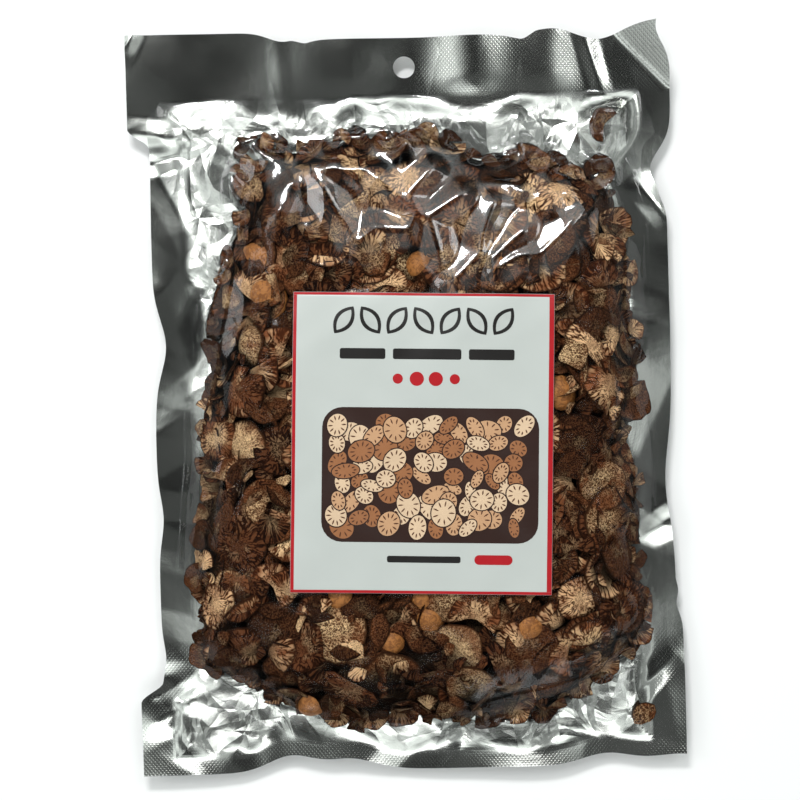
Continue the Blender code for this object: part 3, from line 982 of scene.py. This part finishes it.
def turned_to(normal, spin):
    """A rotation that points a slice's face along a normal and spins it."""
    return normal.to_track_quat("Z", "Y").to_matrix() @ Matrix.Rotation(spin, 3, "Z")


class Held:
    """A slice held over a place: its points as it is turned, and the raster cells under them."""

    def __init__(self, shapes, number, place, rotation, size):
        self.number = number
        self.place = place
        self.rotation = rotation
        self.size = size
        self.points = (shapes[number][1] * size) @ np.array(rotation).T + (*place, 0.0)
        self.cell = cells(self.points[:, 0], self.points[:, 1])


class Heap:
    """The slices as they are laid: the raster of their tops, what holds them in, and their places."""

    def __init__(self, shapes, core, floor, ceiling):
        self.shapes = shapes
        self.laid = {kind: [] for kind in shapes}
        self.top = core.copy()
        self.floor = floor
        self.ceiling = ceiling
        self.slope = np.gradient(blurred(ceiling, 5.0), GRID)
        self.depth = ragged_depth(*RASTER)
        self.allowed = self.depth > -0.5
        self.edge = 1.0 + EDGE_PULL * np.exp(-np.clip(self.depth, 0.0, 50.0) / EDGE_PULL_DEPTH)

    def leant_normal(self, place, away, angle):
        """The ceiling's normal at a place, leant over by an angle."""
        cell = cells(*place)
        normal = Vector((-self.slope[0][cell], -self.slope[1][cell], 1.0)).normalized()
        return (normal + Vector((math.cos(away), math.sin(away), 0.0)) * math.tan(angle)).normalized()

    def lowest_places(self, draw, count):
        """Places where the most room is left under the ceiling."""
        room = np.where(self.allowed, np.clip(self.ceiling - self.top, 0.0, MOST_ROOM), 0.0)
        weight = (room ** ROOM_POWER * self.edge).ravel()
        total = weight.sum()
        if total <= 0.0:
            return []
        ladder = np.cumsum(weight) / total
        chosen = np.searchsorted(ladder, [draw.random() for _ in range(count)])
        columns, rows = np.unravel_index(np.minimum(chosen, weight.size - 1), room.shape)
        return list(zip(AXIS_X[columns], AXIS_Y[rows]))

    def fit(self, held):
        """What it costs to lay a slice where it is held, and the height at which it would lie."""
        z = held.points[:, 2]
        gaps = self.top[held.cell] - z
        height = np.percentile(gaps, 98)
        over = max((z + height - self.ceiling[held.cell]).max(), 0.0)
        height -= over
        hollow = np.mean(np.clip(height - gaps, 0.0, MOST_HOLLOW))
        off_edge = np.mean(~self.allowed[held.cell])
        below = max((self.floor[held.cell] - z).max() - height, 0.0)
        cost = HOLLOW_COST * hollow + OVER_COST * over + OFF_EDGE_COST * off_edge + BELOW_COST * below
        return cost, height

    def lay(self, draw, kind, tilt, tries):
        """Lays one slice at the best of some random tries."""
        shapes = self.shapes[kind]
        number = draw.randrange(len(shapes))
        least = MOST_COST
        best = None
        for place in self.lowest_places(draw, tries):
            away = draw.uniform(0.0, math.tau)
            usual = draw.random() < USUAL_SHARE
            leant = abs(draw.gauss(0.0, tilt)) if usual else math.radians(draw.uniform(*STEEP_TILTS))
            normal = self.leant_normal(place, away, min(leant, MOST_TILT))
            flipped = draw.random() < FLIPPED_SHARE
            rotation = turned_to(-normal if flipped else normal, draw.uniform(0.0, math.tau))
            held = Held(shapes, number, place, rotation, draw.uniform(*SLICE_SIZES))
            cost, height = self.fit(held)
            if cost < least:
                least = cost
                best = (kind, held, height)
        if best:
            self.place(*best)

    def lay_at(self, kind, number, place, spin, tilt, size, on_top, raised=0.8):
        """Lays one slice at a given place, on top of the heap or down on the web."""
        away = math.radians(spin)
        rotation = turned_to(self.leant_normal(place, away, math.radians(tilt)), away)
        held = Held(self.shapes[kind], number, place, rotation, size)
        z = held.points[:, 2]
        height = (self.floor[held.cell] - z).max() + 0.3
        if on_top:
            height = max(height, (self.ceiling[held.cell] - z).min() + raised)
        self.place(kind, held, height)

    def line_edge(self, draw, kind, depth, sizes):
        """Sets slices against the film all round the edge of the heap, about this deep in it."""
        columns, rows = np.nonzero(np.abs(self.depth - depth) < EDGE_ROW_WIDTH)
        places = list(zip(AXIS_X[columns], AXIS_Y[rows]))
        draw.shuffle(places)
        taken = []
        for x, y in places:
            size = draw.uniform(*sizes)
            if all(math.hypot(x - a, y - b) > EDGE_APART * (size + other) for a, b, other in taken):
                taken.append((x, y, size))
                number = draw.randrange(len(self.shapes[kind]))
                spin, tilt = draw.uniform(0.0, 360.0), draw.uniform(0.0, EDGE_TILT)
                self.lay_at(kind, number, (x, y), spin, tilt, size, True, 0.0)

    def place(self, kind, held, height):
        """Sets a slice down and raises the raster under it."""
        np.maximum.at(self.top, held.cell, held.points[:, 2] + height)
        self.laid[kind].append(((*held.place, height), held.rotation.to_euler(), held.size, held.number))


def scatter_tree():
    """Geometry nodes that set a slice on each point, with its own tone and grain, and join them all."""
    tree = bpy.data.node_groups.new("lay_slices", "GeometryNodeTree")
    add = functools.partial(add_node, tree)
    for name, kind in (
        ("Geometry", "Geometry"), ("Shapes", "Collection"), ("Size", "Float"),
        ("Seed", "Int"), ("Cut face", "Material"), ("Skin", "Material"),
    ):
        tree.interface.new_socket(name, in_out="INPUT", socket_type="NodeSocket" + kind)
    tree.interface.new_socket("Geometry", in_out="OUTPUT", socket_type="NodeSocketGeometry")
    given = add("NodeGroupInput").node.outputs
    turn, size, shape, skin = (
        add("GeometryNodeInputNamedAttribute", name, data_type=kind)
        for name, kind in (("turn", "FLOAT_VECTOR"), ("size", "FLOAT"), ("shape", "INT"), ("skin", "FLOAT"))
    )
    laid = add("GeometryNodeInstanceOnPoints", {
        "Points": given["Geometry"],
        "Instance": add("GeometryNodeCollectionInfo", given["Shapes"], True, True),
        "Pick Instance": True,
        "Instance Index": shape,
        "Rotation": add("FunctionNodeEulerToRotation", turn),
        "Scale": add("Math", size, given["Size"], **TIMES),
    })
    for name, kind, limits, out, offset in (
        ("tone", "FLOAT", {2: 0.0, 3: 1.0}, 1, 11),
        ("netted", "FLOAT", {2: 0.0, 3: 1.0}, 1, 23),
        ("grain", "FLOAT_VECTOR", {0: (-400.0, -400.0, -400.0), 1: (400.0, 400.0, 400.0)}, 0, 37),
    ):
        seed = add("Math", given["Seed"], offset, **PLUS)
        value = add("FunctionNodeRandomValue", {**limits, "Seed": seed}, out=out, data_type=kind)
        stored = {"Geometry": laid, "Name": name, "Value": value}
        laid = add("GeometryNodeStoreNamedAttribute", stored, data_type=kind, domain="INSTANCE")
    real = add("GeometryNodeRealizeInstances", laid)
    faced = add("GeometryNodeSetMaterial", {"Geometry": real, "Material": given["Cut face"]})
    skinned = {"Geometry": faced, "Selection": skin, "Material": given["Skin"]}
    add("NodeGroupOutput", add("GeometryNodeSetMaterial", skinned))
    return tree


def scattered(name, laid, shapes, tree, values):
    """One plain mesh object of all the slices of a kind."""
    places, turns, sizes, numbers = zip(*laid)
    points = mesh_object(name, places, [], smooth=False)
    add_values(points.data, "turn", [tuple(turn) for turn in turns])
    add_values(points.data, "size", sizes)
    add_values(points.data, "shape", numbers)
    group = bpy.data.collections.new(name + "_shapes")
    for thing, _ in shapes:
        group.objects.link(thing)
    modifier = points.modifiers.new("lay_slices", "NODES")
    modifier.node_group = tree
    values = {"Shapes": group, **values}
    for item in tree.interface.items_tree:
        if item.in_out == "INPUT" and item.name in values:
            modifier[item.identifier] = values[item.name]
    bpy.context.view_layer.update()
    mesh = evaluated_mesh(points)
    points.modifiers.remove(modifier)
    points.data = mesh
    mesh.name = name
    bpy.data.collections.remove(group)
    return points


# The film and the label

def on_label(x, y):
    """Places on the pouch as places on the label, from its middle."""
    cos, sin = math.cos(LABEL_TURN), math.sin(LABEL_TURN)
    dx, dy = x - LABEL_CENTRE[0], y - LABEL_CENTRE[1]
    return dx * cos + dy * sin, dy * cos - dx * sin


def turned(x, y, a, b, turn):
    """Places beside a middle, on axes that are turned by an angle."""
    cos, sin = math.cos(turn), math.sin(turn)
    return x + a * cos - b * sin, y + a * sin + b * cos


def from_label(u, v):
    """Places on the label as places on the pouch."""
    return turned(*LABEL_CENTRE, u, v, LABEL_TURN)


def label_height(resting):
    """Heights of the label: stiff paper that rests on the highest slices and waves a little between them."""
    x, y = RASTER
    ripple = 0.22 * np.sin(x / 4.1 + 1.7 * np.sin(y / 9.0)) * np.sin(y / 5.3 + 0.8)
    waves = ripple + 0.3 * np.sin(x / 9.7 + y / 13.0)
    return blurred(drawn_tight(resting, PAPER_RADIUS), PAPER_BLUR) + 0.5 + waves


def film_height(resting, label, loose_radius, tight_radius):
    """Heights of the film: flat under the label, snug at the edge of the heap and loosest near the header."""
    x, y = RASTER
    u, v = on_label(x, y)
    under = (np.abs(u) < LABEL_SIZE[0] / 2 - 0.5) & (np.abs(v) < LABEL_SIZE[1] / 2 - 0.5)
    resting = np.where(under, label - LABEL_OVER_FILM - 0.05, resting)
    radii = (loose_radius, tight_radius, SNUG_RADIUS)
    loose, tight, snug = (drawn_tight(resting, radius) for radius in radii)
    film = between(tight, loose, soft_step((y - 10.0) / 50.0))
    film = between(snug, film, soft_step((ragged_depth(x, y) - 1.0) / 8.0))
    smooth = blurred(film, 6.0)
    tents = np.full_like(x, NOWHERE)
    for start, end, height, _ in FOLD_LINES:
        rise = height - FOLD_FALL * from_line(x, y, start, end)
        tents = np.maximum(tents, np.where(rise > -0.5, smooth + rise, NOWHERE))
    return np.where(under, label - LABEL_OVER_FILM, np.maximum(film, tents))


def looseness(mesh):
    """How far each point of the film is off the slices, from 0 to 1: most near the header and the folds."""
    x, y, _ = points_of(mesh).T
    near = soft_step((y - 35.0) / 60.0) * 0.52
    for start, end, _, share in FOLD_LINES:
        near = np.maximum(near, share * soft_step(1.8 - from_line(x, y, start, end) / 7.0))
    return np.maximum(near, 0.5 * emptiness(x, y))


def bar(u, v, wide, high, round_by):
    """The outline of a printed bar with round corners."""
    reach = min(round_by, wide / 2, high / 2)
    places = []
    for corner, (side_u, side_v) in enumerate(((1, -1), (1, 1), (-1, 1), (-1, -1))):
        for step in range(7):
            angle = (corner - 1 + step / 6) * math.pi / 2
            a = side_u * (wide / 2 - reach) + reach * math.cos(angle)
            b = side_v * (high / 2 - reach) + reach * math.sin(angle)
            places.append((u + a, v + b))
    return places


def oval(u, v, wide, high, turn=0.0, power=1.0):
    """The outline of a printed oval. A power over 1 gives it two pointed ends."""
    places = []
    for step in range(28):
        angle = step / 28 * math.tau
        a = wide / 2 * math.cos(angle)
        b = high / 2 * math.copysign(abs(math.sin(angle)) ** power, math.sin(angle))
        places.append(turned(u, v, a, b, turn))
    return places


leaf = functools.partial(oval, power=LEAF_POWER)


def strip(u0, v0, u1, v1):
    """The outline of a straight printed strip."""
    return [(u0, v0), (u1, v0), (u1, v1), (u0, v1)]


def round_places(draw, laid):
    """One layer of rounds in the picture: places and sizes, apart from each other and from those laid."""
    left, right, low, high = PICTURE
    chosen = []
    for _ in range(ROUND_TRIES):
        size = draw.uniform(*ROUND_SIZES)
        u = draw.uniform(left + PICTURE_MARGIN, right - PICTURE_MARGIN)
        v = draw.uniform(low + PICTURE_MARGIN, high - PICTURE_MARGIN)
        apart = all(math.hypot(u - a, v - b) > (size + other) * ROUNDS_CLOSE for a, b, other in chosen)
        if apart and all(math.hypot(u - a, v - b) > ROUNDS_APART for a, b, _ in laid):
            chosen.append((u, v, size))
    return chosen


def printed(name, outlines, material, cell=2.4):
    """Flat ink on the label: outlines, each with its height over the paper, cut along a grid to follow it."""
    mesh = bmesh.new()
    for places, layer in outlines:
        mesh.faces.new([mesh.verts.new((u, v, layer)) for u, v in places])
    for normal, size in zip((Vector((1.0, 0.0, 0.0)), Vector((0.0, 1.0, 0.0))), LABEL_SIZE):
        for step in range(1, int(size / cell)):
            geometry = mesh.verts[:] + mesh.edges[:] + mesh.faces[:]
            place = normal * (step * cell - size / 2)
            bmesh.ops.bisect_plane(mesh, geom=geometry, plane_co=place, plane_no=normal)
    raised = bmesh.ops.extrude_face_region(mesh, geom=mesh.faces[:])
    for item in raised["geom"]:
        if isinstance(item, bmesh.types.BMVert):
            item.co.z -= INK_DEPTH
    bmesh.ops.recalc_face_normals(mesh, faces=mesh.faces)
    flat = np.array([vertex.co[:] for vertex in mesh.verts])
    x, y = from_label(flat[:, 0], flat[:, 1])
    height = sample(ground["label"], x, y) + bpy.context.scene.pouch_label.thickness / MM + flat[:, 2]
    for vertex, place in zip(mesh.verts, zip(x, y, height)):
        vertex.co = Vector(place) * MM
    ink = mesh_object(name, [], [], smooth=False)
    mesh.to_mesh(ink.data)
    mesh.free()
    finish_piece(ink, "label_paper", "label", material)


# Settings

def length(name, description, default):
    """A length that a user can change, from its millimetres."""
    return FloatProperty(name=name, description=description, default=default * MM, unit="LENGTH")


def colour(name, of_what, default):
    """A colour that a user can change."""
    return StringProperty(name=name, description="Hex colour of " + of_what, default=default)


class PouchWeb(bpy.types.PropertyGroup):
    """The foil and the film."""
    foil_thickness: length("Foil", "Thickness of the sealed laminate", 0.3)
    film_thickness: length("Film", "Thickness of the clear film", 0.12)
    foil_light: colour("Light foil", "the foil", "#E2E4E1")
    foil_dark: colour("Dark foil", "the foil where it is dull", "#CDCFCC")
    crease_seed: IntProperty(name="Crease seed", description="Seed for the lie of the creases", default=5)
    loose_radius: length("Loose film", "Radius of the film's arcs near the header", 34)
    tight_radius: length("Tight film", "Radius of the film's arcs near the foot", 9)


class PouchNuts(bpy.types.PropertyGroup):
    """The slices."""
    whole_slices: IntProperty(name="Whole slices", description="Number of round slices laid", default=250)
    broken_slices: IntProperty(name="Broken slices", description="Number of part slices laid", default=385)
    nut_ends: IntProperty(name="Nut ends", description="Number of domed ends of nuts laid", default=12)
    nut_chips: IntProperty(name="Chips", description="Number of small chips laid", default=110)
    above: length("Above", "Height of the slices over the filled middle", 1.3)
    depth: length("Depth", "Depth of the slices over the crumbs", 13)
    tilt: FloatProperty(
        name="Tilt", description="Usual tilt of a slice", default=math.radians(36), subtype="ANGLE"
    )
    seed: IntProperty(name="Seed", description="Seed for the lie of the slices", default=3)
    darkest: FloatProperty(name="Darkest", description="Tone of the darkest slice", default=0.36)
    lightest: FloatProperty(name="Lightest", description="Tone of the lightest slice", default=1.12)
    kernel_cream: colour("Cream", "the kernel", "#CCAB82")
    kernel_brown: colour("Brown", "the browned kernel", "#75482D")
    seam_dark: colour("Dark seams", "a dark slice's seams", "#170903")
    seam_light: colour("Light seams", "a light slice's seams", "#44220F")
    rim_brown: colour("Rim", "the rim", "#301A0C")
    # The crumbs' near black colours are partly their own and partly painted shade of the deep heap
    crumb_and_shade_dark: colour("Crumbs", "the crumbs", "#060302")
    crumb_and_shade_light: colour("Light crumbs", "the lighter crumbs", "#1C0E07")
    skin_light: colour("Light skin", "the outer skin", "#A56C38")
    skin_dark: colour("Dark skin", "the skin's veins", "#7E4E27")


class PouchLabel(bpy.types.PropertyGroup):
    """The label."""
    thickness: length("Thickness", "Thickness of the paper", 0.15)
    paper_white: colour("Paper", "the paper", "#C0C5C1")
    paper_shade: colour("Paper shade", "the paper where it is dull", "#B9BEBA")
    red: colour("Red ink", "the red ink", "#B3101C")
    black: colour("Black ink", "the black ink", "#1B1817")
    field: colour("Picture field", "the picture's ground", "#2E1710")
    pale_rounds: colour("Pale rounds", "the palest rounds", "#E0C3A2")
    tan_rounds: colour("Tan rounds", "the tan rounds", "#CB9F78")
    russet_rounds: colour("Russet rounds", "the russet rounds", "#A06A44")
    rays: colour("Rays", "the rays on the rounds", "#56301C")
    seed: IntProperty(name="Seed", description="Seed for the rounds in the picture", default=8)


# The heights and pieces that one operator leaves for the next
ground = {}


class POUCH_OT_foil(bpy.types.Operator):
    """Make the foil back, with the sealed rim and the hang hole"""
    bl_idname = "pouch.foil"
    bl_label = "Foil back"

    def execute(self, context):
        settings = context.scene.pouch_web
        shape = Web(random.Random(settings.crease_seed))
        ground["shape"] = shape
        ground["web"] = shape.height(*RASTER)
        x, y = sheet_places(0.0)
        top = shape.height(x, y)
        foil = closed_sheet("foil_back", x, y, top, top - settings.foil_thickness / MM)
        mark_web(foil.data, x, y)
        punch(foil, HOLE_RADIUS)
        finish_piece(foil, "foil_and_film", "pouch", foil_laminate(settings))
        return {"FINISHED"}


class POUCH_OT_crumbs(bpy.types.Operator):
    """Make the crumbs at the heart of the heap, dark and darker still as painted shade"""
    bl_idname = "pouch.crumbs"
    bl_label = "Crumbs"

    def execute(self, context):
        nuts = context.scene.pouch_nuts
        web = ground["web"]
        x, y = RASTER
        depth = ragged_depth(x, y)
        target = between(web, full_height(x, y) + nuts.above / MM, shoulder_share(depth))
        core = between(web, target - nuts.depth / MM, shoulder_share(depth - CRUMB_INSET))
        core += 0.8 * np.sin(x * 0.55 + 0.3 * np.sin(y * 0.31)) * np.sin(y * 0.47)
        ground["ceiling"] = np.maximum(target, web + 0.4)
        ground["core"] = np.where(depth > CRUMB_INSET, np.maximum(core, web + 0.3), web + 0.2)
        x, y = self.places()
        high = np.stack([x, y, sample(ground["core"], x, y)], axis=-1)
        low = np.stack([x, y, sample(web, x, y) + 0.1], axis=-1)
        crumbs = mesh_object("crumbs", np.concatenate([high, low]), closed_fan(CRUMB_DIRECTIONS, CRUMB_RINGS))
        finish_piece(crumbs, "betel_nut", "pouch", nut_crumb_and_shade(nuts))
        return {"FINISHED"}

    @staticmethod
    def places():
        """Rings of places round a middle one, out to where the heap is deep enough for crumbs."""
        angles = np.arange(CRUMB_DIRECTIONS) * math.tau / CRUMB_DIRECTIONS
        near, far = np.zeros(CRUMB_DIRECTIONS), np.full(CRUMB_DIRECTIONS, 200.0)
        cx, cy = CRUMB_CENTRE
        for _ in range(24):
            half = (near + far) / 2
            inside = ragged_depth(cx + half * np.cos(angles), cy + half * np.sin(angles)) > CRUMB_INSET
            near, far = np.where(inside, half, near), np.where(inside, far, half)
        share = np.linspace(0.0, 1.0, CRUMB_RINGS + 1)[1:, None] ** 0.8
        x = np.concatenate([[cx], (cx + share * near * np.cos(angles)).ravel()])
        y = np.concatenate([[cy], (cy + share * near * np.sin(angles)).ravel()])
        return x, y


class POUCH_OT_slices(bpy.types.Operator):
    """Lay the slices, the broken slices, the ends of nuts and the chips"""
    bl_idname = "pouch.slices"
    bl_label = "Slices"

    def execute(self, context):
        nuts = context.scene.pouch_nuts
        draw = random.Random(nuts.seed)
        shapes = {kind: shape_set(draw, kind, count) for kind, count in SHAPE_COUNTS.items()}
        heap = Heap(shapes, ground["core"], ground["web"], ground["ceiling"])
        order = [kind for kind in shapes if kind != "nut_chips" for _ in range(getattr(nuts, kind))]
        draw.shuffle(order)
        for depth, sizes in EDGE_ROWS:
            heap.line_edge(draw, "broken_slices", depth, sizes)
        for kind in order:
            heap.lay(draw, kind, nuts.tilt, SLICE_TRIES)
        for _ in range(nuts.nut_chips):
            heap.lay(draw, "nut_chips", nuts.tilt * 1.5, CHIP_TRIES)
        for number, (kind, x, y, *lie) in enumerate(PLACED_PIECES):
            heap.lay_at(kind, number % len(shapes[kind]), (x, y), *lie)
        tree = scatter_tree()
        values = {"Size": 1.0, "Seed": nuts.seed, "Cut face": cut_nut(nuts), "Skin": nut_skin(nuts)}
        pieces = [scattered(kind, heap.laid[kind], shapes[kind], tree, values) for kind in shapes]
        ground["slices"] = pieces
        tops = blurred(drawn_tight(np.maximum(top_of(pieces), ground["web"]), 6.0), 1.5)
        for piece in pieces:
            x, y, z = points_of(piece.data).T
            # Painted shade: each point's depth under the smoothed tops, weaker near the edge of the heap,
            # plus more towards the foot
            painted_shade_depth = (sample(tops, x, y) - z) * (0.3 + 0.7 * soft_step(ragged_depth(x, y) / 16.0))
            add_values(piece.data, "painted_shade_depth", painted_shade_depth + 1.2 * soft_step((-78.0 - y) / 36.0))
            finish_piece(piece, "betel_nut", "pouch")
        for thing, _ in sum(shapes.values(), []):
            bpy.data.objects.remove(thing)
        bpy.data.node_groups.remove(tree)
        return {"FINISHED"}


class POUCH_OT_film(bpy.types.Operator):
    """Draw the clear film tight over the slices"""
    bl_idname = "pouch.film"
    bl_label = "Clear front"

    def execute(self, context):
        settings = context.scene.pouch_web
        web = ground["web"]
        resting = np.maximum(top_of(ground["slices"]), web + 0.15)
        resting = np.maximum.reduce([slid(slid(resting, i, 0), j, 1) for i in (-1, 0, 1) for j in (-1, 0, 1)])
        resting += FILM_GAP
        ground["label"] = label_height(resting)
        film = film_height(resting, ground["label"], settings.loose_radius / MM, settings.tight_radius / MM)
        x, y = sheet_places(FILM_INSET)
        near = np.clip(inside_seals(x, y) / 2.0, 0.0, 1.0)
        near = np.maximum(near, soft_step((inside_fill(x, y) + 6.0) / 3.0))
        lifted = between(FILM_GAP, np.maximum(sample(film - web, x, y), 0.3), near)
        top = ground["shape"].height(x, y) + lifted
        sheet = closed_sheet("front_film", x, y, top, top - settings.film_thickness / MM)
        mark_web(sheet.data, x, y)
        punch(sheet, HOLE_RADIUS + 0.1)
        add_values(sheet.data, "loose", looseness(sheet.data))
        finish_piece(sheet, "foil_and_film", "pouch", clear_film(), film_lining())
        normals = np.empty(len(sheet.data.polygons) * 3)
        sheet.data.polygons.foreach_get("normal", normals)
        sheet.data.polygons.foreach_set("material_index", (normals[2::3] < 0.0).astype(int))
        return {"FINISHED"}


class POUCH_OT_label(bpy.types.Operator):
    """Stick the label to the film"""
    bl_idname = "pouch.label"
    bl_label = "Label"

    def execute(self, context):
        settings = context.scene.pouch_label
        wide, high = LABEL_SIZE
        columns = np.linspace(-wide / 2, wide / 2, LABEL_COLUMNS)
        rows = np.linspace(-high / 2, high / 2, LABEL_ROWS)
        x, y = from_label(*np.meshgrid(columns, rows, indexing="ij"))
        low = sample(ground["label"], x, y)
        paper = closed_sheet("paper_label", x, y, low + settings.thickness / MM, low)
        finish_piece(paper, "label_paper", "label", label_paper(settings))
        return {"FINISHED"}


class POUCH_OT_print(bpy.types.Operator):
    """Print the label: a red border, plain black and red shapes, and a brown field with pale rounds"""
    bl_idname = "pouch.print"
    bl_label = "Print"

    def execute(self, context):
        settings = context.scene.pouch_label
        red = printing_ink("red_ink", settings.red)
        black = printing_ink("black_ink", settings.black)
        pale = printing_ink("paper_coloured_ink", settings.paper_white)
        half_u, half_v = LABEL_SIZE[0] / 2, LABEL_SIZE[1] / 2
        border = [
            strip(-half_u + 0.1, half_v - 1.1, half_u - 0.1, half_v - 0.1),
            strip(-half_u + 0.1, -half_v + 0.1, half_u - 0.1, -half_v + 1.2),
            strip(-half_u + 0.1, -half_v + 1.25, -half_u + 1.4, half_v - 1.15),
            strip(half_u - 2.0, -half_v + 1.25, half_u - 0.1, half_v - 1.15),
        ]
        leaves = [(-31.5 + 10.5 * i, 48.4, math.radians(125 if i % 2 else 55)) for i in range(7)]
        bars = (
            (-24.0, 35.2, 18.0, 4.2), (1.5, 35.2, 27.0, 4.2),
            (27.0, 35.2, 18.0, 4.2), (1.0, -45.8, 29.0, 2.6),
        )
        dots = ((-10.0, 4.0), (-2.5, 5.6), (5.0, 5.6), (12.5, 4.0))
        black_shapes = [leaf(u, v, 13.0, 7.4, turn) for u, v, turn in leaves]
        black_shapes += [bar(*size, 0.8) for size in bars]
        pale_leaves = [leaf(u, v, 9.8, 4.4, turn) for u, v, turn in leaves]
        red_shapes = [oval(u, 25.4, size, size) for u, size in dots] + [bar(28.5, -45.8, 15.0, 3.8, 1.8)]
        for name, outlines, layer, ink in (
            ("red_border", border, 0.05, red), ("black_shapes", black_shapes, 0.05, black),
            ("pale_leaves", pale_leaves, 0.1, pale), ("red_shapes", red_shapes, 0.05, red),
        ):
            printed(name, [(outline, layer) for outline in outlines], ink)
        self.picture(settings)
        return {"FINISHED"}

    @staticmethod
    def picture(settings):
        """Plain rounds with short rays, in heaped layers on a dark field with round corners."""
        draw = random.Random(settings.seed)
        left, right, low, high = PICTURE
        field = bar((left + right) / 2, (low + high) / 2, right - left, high - low, PICTURE_CORNER)
        printed("picture_field", [(field, 0.05)], printing_ink("brown_ink", settings.field))
        rounds = {"pale_rounds": [], "tan_rounds": [], "russet_rounds": []}
        rims, rays, laid = [], [], []
        for level in range(ROUND_LAYERS):
            layer = 0.09 + 0.08 * level
            chosen = round_places(draw, laid)
            laid += chosen
            for u, v, size in chosen:
                turn, flat = draw.uniform(0.0, math.pi), draw.uniform(0.5, 0.95)
                rims.append((oval(u, v, size + 0.9, size * flat + 0.9, turn), layer - 0.03))
                rounds[draw.choice(sorted(rounds))].append((oval(u, v, size, size * flat, turn), layer))
                count = draw.choice(RAY_COUNTS)
                for ray in range(count):
                    angle = ray * math.tau / count
                    a, b = size * 0.34 * math.cos(angle), size * 0.34 * flat * math.sin(angle)
                    place = turned(u, v, a, b, turn)
                    outline = leaf(*place, size * 0.26 * flat, 0.55, turn + math.atan2(b, a))
                    rays.append((outline, layer + 0.04))
        for name, outlines in rounds.items():
            printed(name, outlines, printing_ink(name.replace("rounds", "ink"), getattr(settings, name)))
        printed("round_rims", rims, printing_ink("deep_brown_ink", settings.field))
        printed("round_rays", rays, printing_ink("dark_brown_ink", settings.rays), 40.0)


class POUCH_OT_stage(bpy.types.Operator):
    """Set up the floor, the lights and the camera"""
    bl_idname = "pouch.stage"
    bl_label = "Stage"

    def execute(self, context):
        corners = [(u * FLOOR_REACH, v * FLOOR_REACH, 0) for u, v in ((-1, -1), (1, -1), (1, 1), (-1, 1))]
        floor = mesh_object("floor", corners, [[0, 1, 2, 3]], smooth=False)
        floor.data.materials.append(white_board())
        context.scene.world = self.room()
        for name, lamp in LAMPS.items():
            self.lamp(name, *lamp)
        context.scene.camera = self.camera()
        context.scene.view_settings.view_transform = "Standard"
        return {"FINISHED"}

    @staticmethod
    def room():
        """A room that is bright low down and dim overhead."""
        world = bpy.data.worlds.new("room")
        world.use_nodes = True
        world.node_tree.nodes.clear()
        add = functools.partial(add_node, world.node_tree)
        around = add("TexCoord", out="Generated")
        up = add("SeparateXYZ", around).node.outputs[2]
        overhead = add("MapRange", up, 0.84, 0.97, 1.0, 0.05, **SOFT)
        low = add("MapRange", up, 0.28, 0.74, 0.1, 1.0, **SOFT)
        clouds = add("TexNoise", {"Vector": around, "Scale": 2.2, "Detail": 0.0})
        windows = add("MapRange", clouds, 0.38, 0.62, 0.38, 1.6, **SOFT)
        light = add("Math", add("Math", overhead, low, **TIMES), windows, **TIMES)
        add("OutputWorld", add("Background", linear("#F2F8F6"), light), is_active_output=True)
        return world

    @staticmethod
    def lamp(name, place, size, watts):
        """A soft rectangular lamp that faces the pouch."""
        data = bpy.data.lights.new(name, "AREA")
        data.shape = "RECTANGLE"
        data.size, data.size_y = size
        data.energy = watts
        lamp = bpy.data.objects.new(name, data)
        lamp.location = place
        lamp.rotation_euler = (-Vector(place)).to_track_quat("-Z", "Y").to_euler()
        bpy.context.scene.collection.objects.link(lamp)

    @staticmethod
    def camera():
        """Straight above the pouch, turned a little, as the photo shows it."""
        data = bpy.data.cameras.new("camera")
        data.lens = CAMERA_LENS
        away = MM_EACH_PIXEL * PHOTO_PIXELS * CAMERA_LENS / data.sensor_width
        camera = bpy.data.objects.new("camera", data)
        camera.location = Vector((*CAMERA_PLACE, away + SEAL_LEVEL)) * MM
        camera.rotation_euler = (0.0, 0.0, CAMERA_TURN)
        bpy.context.scene.collection.objects.link(camera)
        return camera


class POUCH_PT_panel(bpy.types.Panel):
    """The pouch's settings and its pieces."""
    bl_idname = "POUCH_PT_panel"
    bl_label = "Betel nut pouch"
    bl_space_type = "VIEW_3D"
    bl_region_type = "UI"
    bl_category = "Pouch"

    def draw(self, context):
        for name, group in SETTINGS.items():
            box = self.layout.box()
            for setting in group.__annotations__:
                box.prop(getattr(context.scene, name), setting)
        for operator in OPERATORS:
            self.layout.operator(operator.bl_idname)


SETTINGS = {"pouch_web": PouchWeb, "pouch_nuts": PouchNuts, "pouch_label": PouchLabel}
OPERATORS = (
    POUCH_OT_foil, POUCH_OT_crumbs, POUCH_OT_slices, POUCH_OT_film,
    POUCH_OT_label, POUCH_OT_print, POUCH_OT_stage,
)


def register():
    for name, group in SETTINGS.items():
        bpy.utils.register_class(group)
        setattr(bpy.types.Scene, name, PointerProperty(type=group))
    for operator in OPERATORS:
        bpy.utils.register_class(operator)
    bpy.utils.register_class(POUCH_PT_panel)


def unregister():
    bpy.utils.unregister_class(POUCH_PT_panel)
    for operator in reversed(OPERATORS):
        bpy.utils.unregister_class(operator)
    for name, group in SETTINGS.items():
        delattr(bpy.types.Scene, name)
        bpy.utils.unregister_class(group)


def main():
    """Builds the pouch piece by piece."""
    register()
    bpy.ops.pouch.foil()
    bpy.ops.pouch.crumbs()
    bpy.ops.pouch.slices()
    bpy.ops.pouch.film()
    bpy.ops.pouch.label()
    bpy.ops.pouch.print()
    bpy.ops.pouch.stage()


if __name__ == "__main__":
    main()
